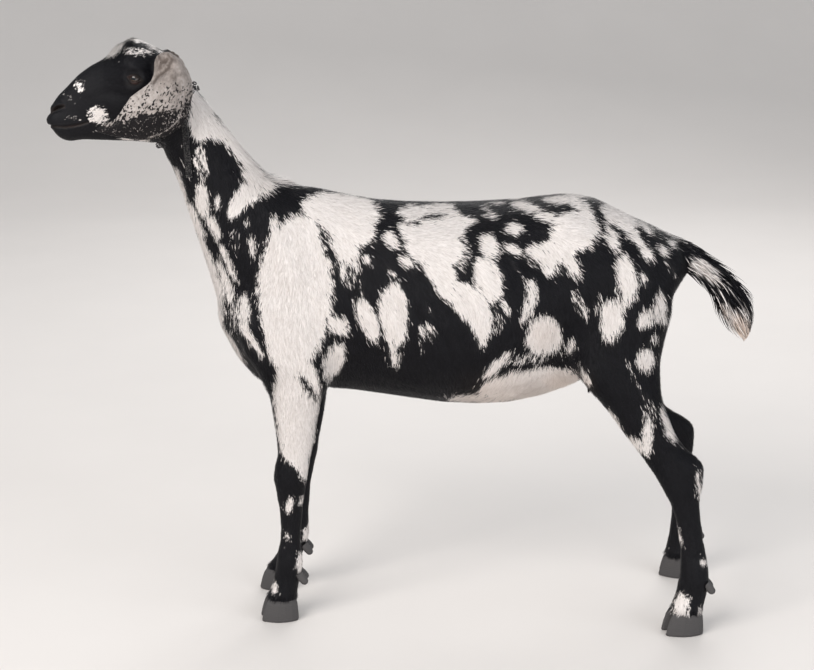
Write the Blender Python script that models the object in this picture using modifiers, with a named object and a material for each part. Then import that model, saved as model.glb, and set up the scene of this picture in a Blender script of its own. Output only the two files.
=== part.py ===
"""A young mini Nubian doe standing square, life size, in metres.

She faces -X with her left side towards -Y, and her hooves rest on Z = 0. The
flesh is lofted from named stations, fused into one body, and parted with thin
cuts where a person would name its parts. Every station was measured on a doe
WITHERS_MEASURED tall, so WITHERS_HEIGHT alone resizes the whole animal.
"""

import math
import random

import bmesh
import bpy
from mathutils import Matrix, Vector
from mathutils.bvhtree import BVHTree

WITHERS_HEIGHT = 0.654
WITHERS_MEASURED = 0.654
SCALE = WITHERS_HEIGHT / WITHERS_MEASURED
GAP = 0.00035  # kept between nodes that touch

BODY_VOXEL = 0.006
HEAD_VOXEL = 0.0035
BODY_TRIANGLES = 4740
HEAD_TRIANGLES = 2350
RING_SIDES = 24
BODY_SMOOTHING, HEAD_SMOOTHING = 7, 5  # passes
SWELL_REACH = 3  # a swell fades out at so many times its reach
SHARPEST_CORNER = 0.3  # an outline drawn in at a sharp corner moves no further than this allows
HEAD_NECK_ROWS = 4  # stations of the neck that the finer head takes in
RAY_FROM_SIDE, RAY_FROM_FRONT = 0.2, -0.7  # outside the head

LEFT, RIGHT = -1, 1
SIDES = {"left": LEFT, "right": RIGHT}

# How far along X the right legs stand from the left ones, by height
RIGHT_FORE_STEPS = (
    (0.0, -0.010), (0.03, -0.008), (0.062, 0.001), (0.085, 0.004),
    (0.11, 0.006), (0.18, 0.0065), (0.21, 0.0095), (0.24, 0.0095),
    (0.33, 0.008), (0.45, 0.0),
)
RIGHT_HIND_STEPS = (
    (0.0, 0.0235), (0.035, 0.0215), (0.06, 0.017), (0.085, 0.0155),
    (0.12, 0.0155), (0.18, 0.017), (0.22, 0.017), (0.245, 0.016),
    (0.262, 0.009), (0.28, 0.001), (0.30, -0.003), (0.40, 0.0),
)

EYE_RADIUS = 0.0122
EYE_CENTRE = Vector((-0.3824, 0.0360, 0.8111))
EYE_LOOK = Vector((-0.22, 0.96, 0.10)).normalized()
LID_THICKNESS = 0.0022
EYE_OPENING = (0.0098, 0.0056, 0.0062)
EYE_OPENING_OUT = 1.02  # how far out the opening's middle lies, beside the eye's radius
LID_CORNERS = Vector((1.0, 0.0, -0.22))  # from the front corner to the back one

EAR_THICKNESS = 0.0034
CORONET_HEIGHT = 0.034
CLAW_HALF_WIDTH = 0.0103
TOE_SPREAD, HEEL_SPREAD = 0.0085, 0.0015  # how much further out toe and heel are at the sole
# Rows of a claw: height, share of that spread, width beside its half width, how far both ends are drawn in
CLAW_ROWS = (
    (CORONET_HEIGHT - GAP, 0.0, 0.86, 0.0022),
    (0.027, 0.30, 0.97, 0.0006),
    (0.014, 0.70, 1.05, 0.0),
    (0.0022, 1.0, 1.08, 0.0),
    (0.0, 0.86, 1.0, 0.0),
)
CLAW_SIDES = 14
CLAW_TOE_WIDTH = 0.62  # beside its width further back
CLAW_FULL_BY = 1 / 2.2  # the share of its length where it is at full width
CLAW_BULGE_IN, CLAW_BULGE_OUT = 0.80, 1.12
CLAW_FROM_MIDDLE = 0.01087
CLAW_DRAWN_IN = 0.001  # toe and heel, from the pastern's
TOES_OUT = {"fore": 8, "hind": 11}  # degrees that the claws turn away from the midline
# Dewclaws: how far back, and how high
DEWCLAWS = {"fore": (-0.1560, 0.067), "hind": (0.4455, 0.073)}
DEWCLAW_RADII, DEWCLAW_SIDES = (0.0062, 0.0065, 0.0054, 0.0026), 9  # from root to tip
DEWCLAW_ROOT = Vector((-0.006, 0.0085, 0.006))  # from that place
DEWCLAW_REACH = Vector((0.012, 0.0035, -0.014))  # from root to tip
DEWCLAW_STEPS = (0.0, 0.5, 0.85, 1.0)  # shares of that reach
CHAIN_RADIUS = 0.0031
CHAIN_SIDES = 6
CHAIN_STAND_OFF = GAP * 4.5
COLLAR_STEPS = 30
COLLAR_MIDDLE = Vector((-0.3360, 0.0, 0.7470))
COLLAR_UP = Vector((0.497, 0.0, 0.868)).normalized()
THROAT_RING_RADIUS = 0.0036
THROAT_RING_WIRE = 0.0010
THROAT_RING_STEP = 19  # the step of the collar that it hangs from, low on the left side
THROAT_RING_SIDES, THROAT_WIRE_SIDES = 14, 6
THROAT_RING_SLACK = 1.45  # the collar slants there, so it reaches lower than its radius
SPARE_TOP = Vector((-0.3165, 0.0, 0.7540))
SPARE_FOOT = Vector((-0.3117, 0.0, 0.6670))
SPARE_WIDTH, SPARE_THICKNESS, SPARE_STEPS = 0.0095, 0.0030, 9

# Torso: x, top z, bottom z, half width, height of the widest point, top and bottom roundness
TORSO = (
    (-0.2795, 0.494, 0.446, 0.022, 0.50, 2.0, 2.0),
    (-0.270, 0.534, 0.428, 0.045, 0.50, 2.0, 2.0),
    (-0.250, 0.584, 0.388, 0.060, 0.48, 1.9, 2.0),
    (-0.222, 0.624, 0.357, 0.070, 0.46, 1.8, 1.9),
    (-0.185, 0.646, 0.347, 0.076, 0.45, 1.7, 1.9),
    (-0.145, 0.654, 0.349, 0.080, 0.44, 1.6, 1.9),
    (-0.100, 0.644, 0.344, 0.087, 0.43, 1.6, 1.9),
    (-0.050, 0.634, 0.339, 0.098, 0.42, 1.7, 2.0),
    (0.000, 0.6295, 0.333, 0.109, 0.41, 1.8, 2.1),
    (0.050, 0.628, 0.327, 0.117, 0.41, 1.9, 2.1),
    (0.100, 0.6285, 0.324, 0.121, 0.42, 2.0, 2.1),
    (0.150, 0.631, 0.326, 0.118, 0.44, 2.1, 2.1),
    (0.195, 0.636, 0.333, 0.108, 0.48, 2.1, 2.0),
    (0.237, 0.641, 0.346, 0.096, 0.52, 2.0, 1.9),
    (0.275, 0.6335, 0.366, 0.087, 0.52, 2.0, 1.9),
    (0.315, 0.6140, 0.394, 0.081, 0.50, 2.0, 1.9),
    (0.355, 0.5945, 0.429, 0.072, 0.50, 2.0, 1.9),
    (0.388, 0.579, 0.486, 0.056, 0.50, 2.0, 2.0),
    (0.402, 0.566, 0.506, 0.036, 0.50, 2.0, 2.0),
    (0.4075, 0.549, 0.520, 0.018, 0.50, 2.0, 2.0),
)
# Neck and head: crest x, z, throat x, z, half width, height of the widest point, roundness
NECK = (
    (-0.345, 0.836, -0.352, 0.718, 0.035, 0.55, 2.1, 2.0),
    (-0.309, 0.804, -0.353, 0.6985, 0.032, 0.55, 1.9, 2.0),
    (-0.278, 0.765, -0.341, 0.678, 0.033, 0.52, 1.8, 2.0),
    (-0.2505, 0.7295, -0.331, 0.646, 0.037, 0.50, 1.7, 2.0),
    (-0.2240, 0.6930, -0.319, 0.608, 0.044, 0.50, 1.7, 2.0),
    (-0.200, 0.6655, -0.307, 0.571, 0.053, 0.48, 1.7, 2.0),
    (-0.170, 0.658, -0.296, 0.535, 0.061, 0.46, 1.7, 2.0),
    (-0.135, 0.639, -0.284, 0.492, 0.067, 0.46, 1.8, 2.0),
    (-0.095, 0.594, -0.268, 0.439, 0.066, 0.46, 2.0, 2.0),
)
HEAD = (
    (-0.5185, 0.7490, -0.5170, 0.7425, 0.0085, 0.50, 2.0, 2.0),
    (-0.5115, 0.7570, -0.5120, 0.7370, 0.0145, 0.50, 2.2, 2.2),
    (-0.5080, 0.7700, -0.506, 0.728, 0.0180, 0.50, 2.4, 2.2),
    (-0.5010, 0.7820, -0.498, 0.7185, 0.0200, 0.50, 2.4, 2.2),
    (-0.487, 0.7955, -0.4855, 0.7145, 0.0208, 0.50, 2.3, 2.2),
    (-0.471, 0.812, -0.469, 0.7175, 0.0220, 0.52, 2.2, 2.1),
    (-0.452, 0.8255, -0.447, 0.7168, 0.0245, 0.55, 2.2, 2.0),
    (-0.432, 0.835, -0.424, 0.716, 0.0290, 0.60, 2.2, 1.9),
    (-0.414, 0.8500, -0.402, 0.7152, 0.0370, 0.66, 2.2, 1.8),
    (-0.399, 0.8605, -0.385, 0.7145, 0.0435, 0.68, 2.3, 1.8),
    (-0.384, 0.8635, -0.370, 0.713, 0.0455, 0.68, 2.3, 1.8),
    (-0.366, 0.8545, -0.357, 0.7125, 0.0430, 0.66, 2.2, 1.8),
    (-0.348, 0.8465, -0.347, 0.717, 0.0380, 0.60, 2.1, 1.9),
    (-0.330, 0.829, -0.335, 0.729, 0.0330, 0.55, 2.0, 2.0),
    (-0.315, 0.809, -0.325, 0.749, 0.0260, 0.50, 2.0, 2.0),
)
# Legs: z, front x, back x, half width, distance from the midline
FORELEG = (
    (0.499, -0.228, -0.118, 0.026, 0.056),
    (0.454, -0.246, -0.112, 0.032, 0.059),
    (0.414, -0.238, -0.108, 0.033, 0.062),
    (0.379, -0.213, -0.110, 0.030, 0.063),
    (0.349, -0.202, -0.123, 0.0265, 0.063),
    (0.314, -0.197, -0.130, 0.0240, 0.062),
    (0.284, -0.193, -0.135, 0.021, 0.062),
    (0.259, -0.1915, -0.1405, 0.019, 0.062),
    (0.242, -0.1965, -0.1445, 0.0203, 0.062),
    (0.222, -0.1985, -0.147, 0.0203, 0.062),
    (0.201, -0.195, -0.1505, 0.0165, 0.062),
    (0.174, -0.1915, -0.1535, 0.0138, 0.060),
    (0.144, -0.190, -0.156, 0.0132, 0.060),
    (0.122, -0.191, -0.1575, 0.0148, 0.060),
    (0.102, -0.1955, -0.1555, 0.0185, 0.060),
    (0.085, -0.198, -0.1545, 0.0195, 0.060),
    (0.066, -0.200, -0.1590, 0.0172, 0.060),
    (0.049, -0.2055, -0.163, 0.0198, 0.060),
    (0.034, -0.2125, -0.1645, 0.0225, 0.060),
    (0.023, -0.2150, -0.1650, 0.0228, 0.060),
)
HINDLEG = (
    (0.569, 0.262, 0.372, 0.030, 0.040),
    (0.524, 0.240, 0.3865, 0.040, 0.045),
    (0.474, 0.232, 0.3825, 0.044, 0.051),
    (0.434, 0.233, 0.3740, 0.044, 0.058),
    (0.404, 0.240, 0.3685, 0.041, 0.066),
    (0.379, 0.252, 0.3695, 0.037, 0.075),
    (0.354, 0.273, 0.3715, 0.032, 0.081),
    (0.329, 0.295, 0.380, 0.0275, 0.087),
    (0.304, 0.3140, 0.391, 0.0240, 0.092),
    (0.281, 0.3305, 0.408, 0.0212, 0.095),
    (0.262, 0.3445, 0.4310, 0.0192, 0.098),
    (0.253, 0.3510, 0.4360, 0.0195, 0.0985),
    (0.244, 0.3575, 0.4335, 0.0197, 0.099),
    (0.224, 0.3695, 0.4310, 0.019, 0.101),
    (0.199, 0.3835, 0.4290, 0.0167, 0.103),
    (0.174, 0.3925, 0.432, 0.0142, 0.105),
    (0.144, 0.398, 0.4365, 0.0137, 0.107),
    (0.119, 0.4005, 0.4415, 0.0148, 0.109),
    (0.099, 0.4015, 0.445, 0.0187, 0.111),
    (0.083, 0.4005, 0.447, 0.020, 0.111),
    (0.064, 0.3965, 0.4445, 0.0177, 0.111),
    (0.049, 0.392, 0.442, 0.0198, 0.112),
    (0.034, 0.3865, 0.4370, 0.0225, 0.112),
    (0.023, 0.3840, 0.4370, 0.0228, 0.112),
)
LEG_ROUND = 2.1

# Muscle and bone: centre x, y, z, reach x, y, z, lean about Y in degrees, and how far the
# surface is lifted there, or sunk where that is below zero. Each is on both sides.
BODY_SWELLS = {
    "scapula": ((-0.162, 0.072, 0.554), (0.024, 0.040, 0.080), 30, 0.0055),
    "shoulder_point": ((-0.238, 0.055, 0.462), (0.028, 0.040, 0.032), 0, 0.0060),
    "triceps": ((-0.142, 0.085, 0.449), (0.042, 0.050, 0.058), 0, 0.0060),
    "elbow": ((-0.124, 0.085, 0.380), (0.016, 0.030, 0.018), 0, 0.0045),
    "behind_shoulder": ((-0.082, 0.090, 0.464), (0.018, 0.050, 0.090), 0, -0.0040),
    "before_shoulder": ((-0.216, 0.070, 0.559), (0.020, 0.040, 0.060), 30, -0.0040),
    "neck_groove": ((-0.292, 0.045, 0.584), (0.012, 0.030, 0.095), -25, -0.0030),
    "hook_bone": ((0.220, 0.062, 0.616), (0.022, 0.030, 0.018), 0, 0.0045),
    "pin_bone": ((0.386, 0.036, 0.554), (0.016, 0.030, 0.018), 0, 0.0045),
    "loin_hollow": ((0.178, 0.095, 0.569), (0.036, 0.050, 0.034), 0, -0.0085),
    "rump_hollow": ((0.292, 0.060, 0.599), (0.036, 0.030, 0.022), 0, -0.0035),
    "thigh_muscle": ((0.332, 0.085, 0.469), (0.050, 0.050, 0.062), 0, 0.0060),
    "stifle": ((0.264, 0.085, 0.406), (0.024, 0.040, 0.030), 0, 0.0065),
    "flank_fold": ((0.230, 0.088, 0.419), (0.013, 0.050, 0.034), -20, -0.0035),
    "gaskin": ((0.332, 0.090, 0.329), (0.030, 0.040, 0.028), -35, 0.0030),
    "hock_groove": ((0.394, 0.095, 0.284), (0.010, 0.030, 0.028), -35, -0.0030),
    "knee": ((-0.172, 0.062, 0.230), (0.034, 0.034, 0.020), 0, 0.0014),
}
HEAD_SWELLS = {
    "cheek": ((-0.380, 0.038, 0.766), (0.032, 0.030, 0.028), 0, 0.0045),
    "jaw_angle": ((-0.368, 0.030, 0.736), (0.020, 0.025, 0.018), 0, 0.0030),
    "brow": ((-0.389, 0.043, 0.8325), (0.019, 0.020, 0.0075), 8, 0.0040),
    "temple": ((-0.363, 0.040, 0.832), (0.012, 0.020, 0.012), 0, -0.0025),
    "eye_rim": ((-0.3824, 0.045, 0.8116), (0.018, 0.020, 0.014), 0, 0.0040),
    "under_eye": ((-0.411, 0.035, 0.794), (0.020, 0.020, 0.014), 0, -0.0030),
    "nose_wing": ((-0.5035, 0.016, 0.7660), (0.011, 0.012, 0.010), 25, 0.0032),
    "upper_lip": ((-0.493, 0.018, 0.7480), (0.022, 0.020, 0.0085), -6, 0.0035),
    "lower_lip": ((-0.490, 0.016, 0.7290), (0.021, 0.020, 0.0080), 0, 0.0024),
    "mouth_corner": ((-0.4545, 0.022, 0.7450), (0.009, 0.020, 0.008), 0, -0.0018),
}
VULVA = ((0.3960, 0.0, 0.5180), (0.0110, 0.0125, 0.0160), 0)
EAR_BASE = ((-0.3430, 0.0310, 0.8315), (0.0140, 0.0230, 0.0155), 0)

# Tail: top x, z, bottom x, z, half width
TAIL = (
    (0.3800, 0.5840, 0.3820, 0.5420, 0.021),
    (0.3960, 0.5750, 0.3930, 0.5350, 0.022),
    (0.4140, 0.5650, 0.4030, 0.5270, 0.023),
    (0.4290, 0.5555, 0.4160, 0.5180, 0.024),
    (0.4440, 0.5440, 0.4310, 0.5070, 0.025),
    (0.4600, 0.5325, 0.4420, 0.4970, 0.026),
    (0.4750, 0.5215, 0.4500, 0.4860, 0.026),
    (0.4860, 0.5105, 0.4555, 0.4750, 0.025),
    (0.4955, 0.4980, 0.4610, 0.4630, 0.023),
    (0.5040, 0.4840, 0.4690, 0.4500, 0.020),
    (0.5090, 0.4680, 0.4790, 0.4370, 0.016),
    (0.5110, 0.4500, 0.4910, 0.4260, 0.011),
    (0.5080, 0.4320, 0.5000, 0.4205, 0.006),
)
# The core's size beside the full tail, by its share of the length
TAIL_CORE = (
    (0.0, 0.98), (0.07, 0.98), (0.13, 0.97), (0.24, 0.84), (0.38, 0.66),
    (0.55, 0.56), (0.72, 0.50), (0.84, 0.40), (0.90, 0.15),
)
LOCK_LAYERS = ((0.12, 6), (0.28, 7), (0.44, 7), (0.59, 6), (0.70, 4))  # root's share, number of locks
LOCK_REACH, LOCK_WIDTH, LOCK_THICKNESS = 0.35, 0.0180, 0.0060
LOCK_SWAY, LOCK_SWAY_TURNS = 0.10, (3, 5)  # along the lock, and from one lock to the next
LOCK_SEED = 11
LOCK_TURN_LOOSE, LOCK_ROOT_LOOSE = 0.12, 0.02
LOCK_REACH_RANGE, LOCK_END_RANGE, LOCK_WIDTH_RANGE = (0.85, 1.15), (0.93, 0.995), (0.85, 1.2)
LOCK_TAPER = (1.0, 1.1, 0.95, 0.62, 0.16)  # share of the full width, from root to tip
LOCK_FILL = (0.30, 0.68)  # how far out its root lies in the full tail, and how much further its tip
DOCK_FILL, DOCK_ROWS = 0.96, 4  # the dock inside the rump, beside the full tail
TAIL_SIDES, TAIL_CORE_SIDES = 16, 12
TAIL_PLANE_AT = Vector((0.3985, 0.0, 0.5540))
TAIL_PLANE_OUT = Vector((0.86, 0.0, -0.51)).normalized()

# Ear, in rows from root to tip: its front edge, its middle and its rear edge
EAR = (
    ((-0.3500, 0.0200, 0.8320), (-0.3425, 0.0270, 0.8420), (-0.3330, 0.0200, 0.8310)),
    ((-0.3530, 0.0410, 0.8370), (-0.3390, 0.0540, 0.8492), (-0.3220, 0.0380, 0.8370)),
    ((-0.3530, 0.0550, 0.8300), (-0.3280, 0.0720, 0.8460), (-0.3080, 0.0480, 0.8210)),
    ((-0.3550, 0.0630, 0.8140), (-0.3250, 0.0810, 0.8190), (-0.3020, 0.0540, 0.7980)),
    ((-0.3680, 0.0670, 0.8020), (-0.3350, 0.0840, 0.7880), (-0.3070, 0.0580, 0.7720)),
    ((-0.3840, 0.0680, 0.7920), (-0.3550, 0.0830, 0.7640), (-0.3180, 0.0600, 0.7480)),
    ((-0.3960, 0.0670, 0.7760), (-0.3770, 0.0780, 0.7510), (-0.3420, 0.0610, 0.7330)),
    ((-0.4060, 0.0650, 0.7610), (-0.3970, 0.0720, 0.7455), (-0.3730, 0.0610, 0.7285)),
    ((-0.4200, 0.0620, 0.7510), (-0.4160, 0.0665, 0.7430), (-0.4030, 0.0605, 0.7320)),
    ((-0.4370, 0.0590, 0.7435), (-0.4372, 0.0597, 0.7415), (-0.4365, 0.0590, 0.7395)),
)
EAR_STEPS, EAR_STEPS_ACROSS = 14, 6
# The right ear lies closer to the cheek: its share of the left one's width out, and its shift in X and Z
RIGHT_EAR_TUCK, RIGHT_EAR_SHIFT = 0.62, (-0.014, -0.010)
EAR_ROOT_OUT = 0.020
EAR_FREE_AFTER = 0.03  # past its root the right ear is shifted in full

# Mouth line on the left side, x and z, from the mouth's corner to the front of the lips
MOUTH = (
    (-0.4564, 0.7457),
    (-0.4678, 0.7424),
    (-0.4778, 0.7402),
    (-0.4893, 0.7391),
    (-0.5007, 0.7397),
    (-0.5080, 0.7400),
)
MOUTH_DEPTH, MOUTH_SIDES, NOSTRIL_SIDES = 0.0016, 6, 7
MOUTH_TAPER = (0.35, 0.25)  # share of its depth at the corner, and more with each step
NOSTRIL = ((-0.4905, 0.7690), (-0.4970, 0.7680), (-0.5035, 0.7652), (-0.5085, 0.7605))
NOSTRIL_WIDTHS = (0.0011, 0.0021, 0.0026, 0.0014)
UDDER_CENTRE, UDDER_RADII = Vector((0.300, 0.0, 0.384)), (0.043, 0.037, 0.030)
UDDER_LEAN = -12
TEAT_AT, TEAT_LENGTH, TEAT_RADIUS = Vector((0.274, 0.020, 0.366)), 0.024, 0.0058
TEAT_WIDTHS, TEAT_SIDES = (1.3, 1.0, 0.6), 8  # beside its radius, from root to tip
TEAT_LEAN = ((-0.004, 0.002, 0.6), (-0.006, 0.003, 1.0))  # along X, outwards, share of its length

# Where the flesh is parted: outlines in X and Z, and planes
SHOULDER_OUTLINE = (
    (-0.122, 0.622), (-0.150, 0.612), (-0.205, 0.539), (-0.246, 0.469), (-0.244, 0.429),
    (-0.222, 0.389), (-0.214, 0.346), (-0.106, 0.346), (-0.097, 0.400), (-0.093, 0.470),
    (-0.096, 0.545), (-0.106, 0.600),
)
THIGH_OUTLINE = (
    (0.352, 0.558), (0.312, 0.566), (0.272, 0.545), (0.243, 0.500), (0.230, 0.440),
    (0.240, 0.386), (0.262, 0.346), (0.382, 0.346), (0.390, 0.414), (0.390, 0.480), (0.376, 0.535),
)
SHOULDER_FROM, THIGH_FROM = 0.047, 0.040  # nearest the midline that these nodes reach
LEG_PLANE, KNEE_PLANE, HOCK_PLANE = 0.346, 0.232, 0.246
FORELEG_ENDS, HINDLEG_ENDS = (-0.30, 0.0), (0.10, 0.60)  # along X, as wide as the cuts need
BELLY_ENDS = (-0.105, 0.255)
BELLY_BELOW, BELLY_ABOVE = 0.15, 0.01  # how far the belly's block reaches past the legs' plane
MIDLINE_CLEAR = 0.001
FAR_OUT, FAR_ALONG = 0.40, 1.0
TAIL_CLEAR = 1.03  # how much larger than the tail the room is that the rump leaves for it
HEAD_PLANE_AT = Vector((-0.3540, 0.0, 0.7790))
HEAD_PLANE_OUT = Vector((-0.986, 0.0, 0.168)).normalized()
NECK_PLANE_AT = Vector((-0.240, 0.0, 0.594))
NECK_PLANE_OUT = Vector((-0.86, 0.0, 0.51)).normalized()

BLACK_HAIR = (0.012, 0.012, 0.014, 1.0)
GREY_EAR = (0.52, 0.47, 0.44, 1.0)
HORN_GREY = (0.055, 0.052, 0.050, 1.0)
EYE_BROWN = (0.035, 0.018, 0.010, 1.0)
SKIN_PINK = (0.45, 0.27, 0.23, 1.0)
STEEL_BLACK = (0.02, 0.02, 0.02, 1.0)


def clear_scene():
    for obj in list(bpy.data.objects):
        bpy.data.objects.remove(obj)


def collection(name, shown=True):
    made = bpy.data.collections.new(name)
    bpy.context.scene.collection.children.link(made)
    made.hide_render = not shown
    return made


def material(name, colour, roughness, metallic=0.0):
    made = bpy.data.materials.new(name)
    made.use_nodes = True
    shader = made.node_tree.nodes["Principled BSDF"]
    shader.inputs["Base Color"].default_value = colour
    shader.inputs["Roughness"].default_value = roughness
    shader.inputs["Metallic"].default_value = metallic
    return made


def object_from(bm, name, where):
    """A new object in the collection where, from a bmesh in measured metres, brought to size."""
    bmesh.ops.recalc_face_normals(bm, faces=bm.faces)
    bmesh.ops.scale(bm, vec=(SCALE,) * 3, verts=bm.verts)
    mesh = bpy.data.meshes.new(name)
    bm.to_mesh(mesh)
    bm.free()
    obj = bpy.data.objects.new(name, mesh)
    where.objects.link(obj)
    return obj


def superellipse(angle, top_round, bottom_round):
    """A point of a rounded section, from -1 to 1 both ways."""
    side, up = math.cos(angle), math.sin(angle)
    power = 2 / (top_round if up > 0 else bottom_round)
    return (
        math.copysign(abs(side) ** power, side),
        math.copysign(abs(up) ** power, up),
    )


def section(top, bottom, half_width, widest, top_round, bottom_round, sides):
    """Points round one section, which stands from bottom to top and is widest partway up."""
    middle = bottom.lerp(top, widest)
    points = []
    for k in range(sides):
        side, up = superellipse(2 * math.pi * (k + 0.5) / sides, top_round, bottom_round)
        reach = (top - middle) * up if up > 0 else (middle - bottom) * up
        points.append(middle + reach + Vector((0, half_width * side, 0)))
    return points


def loft(sections, name, where):
    """A closed skin over a row of sections with the same number of points."""
    bm = bmesh.new()
    rings = [[bm.verts.new(p) for p in points] for points in sections]
    for a, b in zip(rings, rings[1:]):
        for k in range(len(a)):
            j = (k + 1) % len(a)
            bm.faces.new((a[k], a[j], b[j], b[k]))
    bm.faces.new(reversed(rings[0]))
    bm.faces.new(rings[-1])
    return object_from(bm, name, where)


def ellipsoid(centre, radii, lean, name, where, subdivisions=3):
    """A ball of three radii, leant about Y by lean degrees."""
    bm = bmesh.new()
    bmesh.ops.create_icosphere(bm, subdivisions=subdivisions, radius=1.0)
    place = (
        Matrix.Translation(centre)
        @ Matrix.Rotation(math.radians(lean), 4, "Y")
        @ Matrix.Diagonal((*radii, 1.0))
    )
    bmesh.ops.transform(bm, matrix=place, verts=bm.verts)
    return object_from(bm, name, where)


def torso_piece(where):
    rows = [
        section(
            Vector((x, 0, top)), Vector((x, 0, bottom)), width, widest, *rounds, RING_SIDES
        )
        for x, top, bottom, width, widest, *rounds in TORSO
    ]
    return loft(rows, "torso_form", where)


def slanted_piece(table, name, where):
    rows = [
        section(
            Vector((tx, 0, tz)), Vector((bx, 0, bz)), width, widest, *rounds, RING_SIDES
        )
        for tx, tz, bx, bz, width, widest, *rounds in table
    ]
    return loft(rows, name, where)


def step_at(steps, side, z):
    """How far along X a leg of this side stands from its table at height z."""
    if side == LEFT:
        return 0.0
    for (low, a), (high, b) in zip(steps, steps[1:]):
        if z <= high:
            return a + (b - a) * max(0.0, z - low) / (high - low)
    return steps[-1][1]


def leg_piece(table, side, steps, name, where):
    rows = []
    for z, front, back, width, out in table:
        shift = Vector((step_at(steps, side, z), side * out, 0))
        rows.append(
            section(
                Vector((front, 0, z)) + shift,
                Vector((back, 0, z)) + shift,
                width,
                0.5,
                LEG_ROUND,
                LEG_ROUND,
                RING_SIDES,
            )
        )
    return loft(rows, name, where)


def tail_sections(shrink=1.0, upto=None):
    rows = []
    for tx, tz, bx, bz, width in TAIL[:upto]:
        top, bottom = Vector((tx, 0, tz)), Vector((bx, 0, bz))
        middle = top.lerp(bottom, 0.5)
        rows.append(
            section(
                middle.lerp(top, shrink),
                middle.lerp(bottom, shrink),
                width * shrink,
                0.55,
                2.0,
                2.0,
                TAIL_SIDES,
            )
        )
    return rows


def swell(obj, table):
    """Lifts or sinks the surface round each centre in table, on both sides, and fades it out smoothly."""
    mesh = obj.data
    mesh.update()
    normals = [vert.normal.copy() for vert in mesh.vertices]
    for vert, normal in zip(mesh.vertices, normals):
        here = Vector((vert.co.x, abs(vert.co.y), vert.co.z)) / SCALE
        lift = 0.0
        for centre, reach, lean, height in table.values():
            away = Matrix.Rotation(-math.radians(lean), 3, "Y") @ (here - Vector(centre))
            far = (away.x / reach[0]) ** 2 + (away.y / reach[1]) ** 2 + (away.z / reach[2]) ** 2
            if far < SWELL_REACH ** 2:
                lift += height * math.exp(-far)
        vert.co += normal * lift * SCALE
    mesh.update()


def evaluated(obj, name, where):
    """A plain mesh object of what obj's modifiers make."""
    graph = bpy.context.evaluated_depsgraph_get()
    graph.update()
    mesh = bpy.data.meshes.new_from_object(obj.evaluated_get(graph))
    made = bpy.data.objects.new(name, mesh)
    made.matrix_world = obj.matrix_world
    where.objects.link(made)
    return made


def largest_body(obj):
    """Keeps only the largest closed surface of a mesh object."""
    bm = bmesh.new()
    bm.from_mesh(obj.data)
    left, bodies = set(bm.verts), []
    while left:
        todo, body = [left.pop()], []
        while todo:
            vert = todo.pop()
            body.append(vert)
            for edge in vert.link_edges:
                other = edge.other_vert(vert)
                if other in left:
                    left.remove(other)
                    todo.append(other)
        bodies.append(body)
    bodies.sort(key=len)
    loose = [vert for body in bodies[:-1] for vert in body]
    bmesh.ops.delete(bm, geom=loose, context="VERTS")
    bm.to_mesh(obj.data)
    bm.free()
    return obj


def joined(pieces, name, where, solver="MANIFOLD"):
    """One object that is the union of the objects in the collection pieces, which is then removed."""
    first = pieces.objects[0]
    core = bpy.data.objects.new(name + "_core", first.data.copy())
    where.objects.link(core)
    pieces.objects.unlink(first)
    bpy.data.objects.remove(first)
    union = core.modifiers.new("union", "BOOLEAN")
    union.operation = "UNION"
    union.operand_type = "COLLECTION"
    union.collection = pieces
    union.solver = solver
    made = evaluated(core, name, where)
    bpy.data.objects.remove(core)
    for obj in list(pieces.objects):
        bpy.data.objects.remove(obj)
    bpy.data.collections.remove(pieces)
    return largest_body(made)


def softened(obj, voxel, passes, swells, triangles, name, where):
    """The union blended at its joins, smoothed, swelled, and cut down to about so many triangles."""
    remesh = obj.modifiers.new("blend", "REMESH")
    remesh.mode = "VOXEL"
    remesh.voxel_size = voxel * SCALE
    remesh.adaptivity = 0.0
    smooth = obj.modifiers.new("smooth", "SMOOTH")
    smooth.factor = 0.5
    smooth.iterations = passes
    fine = evaluated(obj, name + "_fine", where)
    bpy.data.objects.remove(obj)
    swell(fine, swells)
    count = sum(len(face.vertices) - 2 for face in fine.data.polygons)
    reduce = fine.modifiers.new("reduce", "DECIMATE")
    reduce.ratio = triangles / count
    reduce.use_collapse_triangulate = True
    made = evaluated(fine, name, where)
    bpy.data.objects.remove(fine)
    return made


def box_piece(low, high, name, where):
    """An axis-aligned box between two corners."""
    bm = bmesh.new()
    bmesh.ops.create_cube(bm, size=1.0)
    low, high = Vector(low), Vector(high)
    place = Matrix.Translation((low + high) / 2) @ Matrix.Diagonal((*(high - low), 1.0))
    bmesh.ops.transform(bm, matrix=place, verts=bm.verts)
    return object_from(bm, name, where)


def slab_piece(point, outward, name, where, reach=1.2):
    """A large block that lies beyond the plane through point, on its outward side."""
    bm = bmesh.new()
    bmesh.ops.create_cube(bm, size=1.0)
    turn = outward.to_track_quat("Z", "Y").to_matrix().to_4x4()
    place = Matrix.Translation(point) @ turn @ Matrix.Diagonal((reach, reach, reach, 1.0))
    place = place @ Matrix.Translation((0, 0, 0.5))
    bmesh.ops.transform(bm, matrix=place, verts=bm.verts)
    return object_from(bm, name, where)


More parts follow.
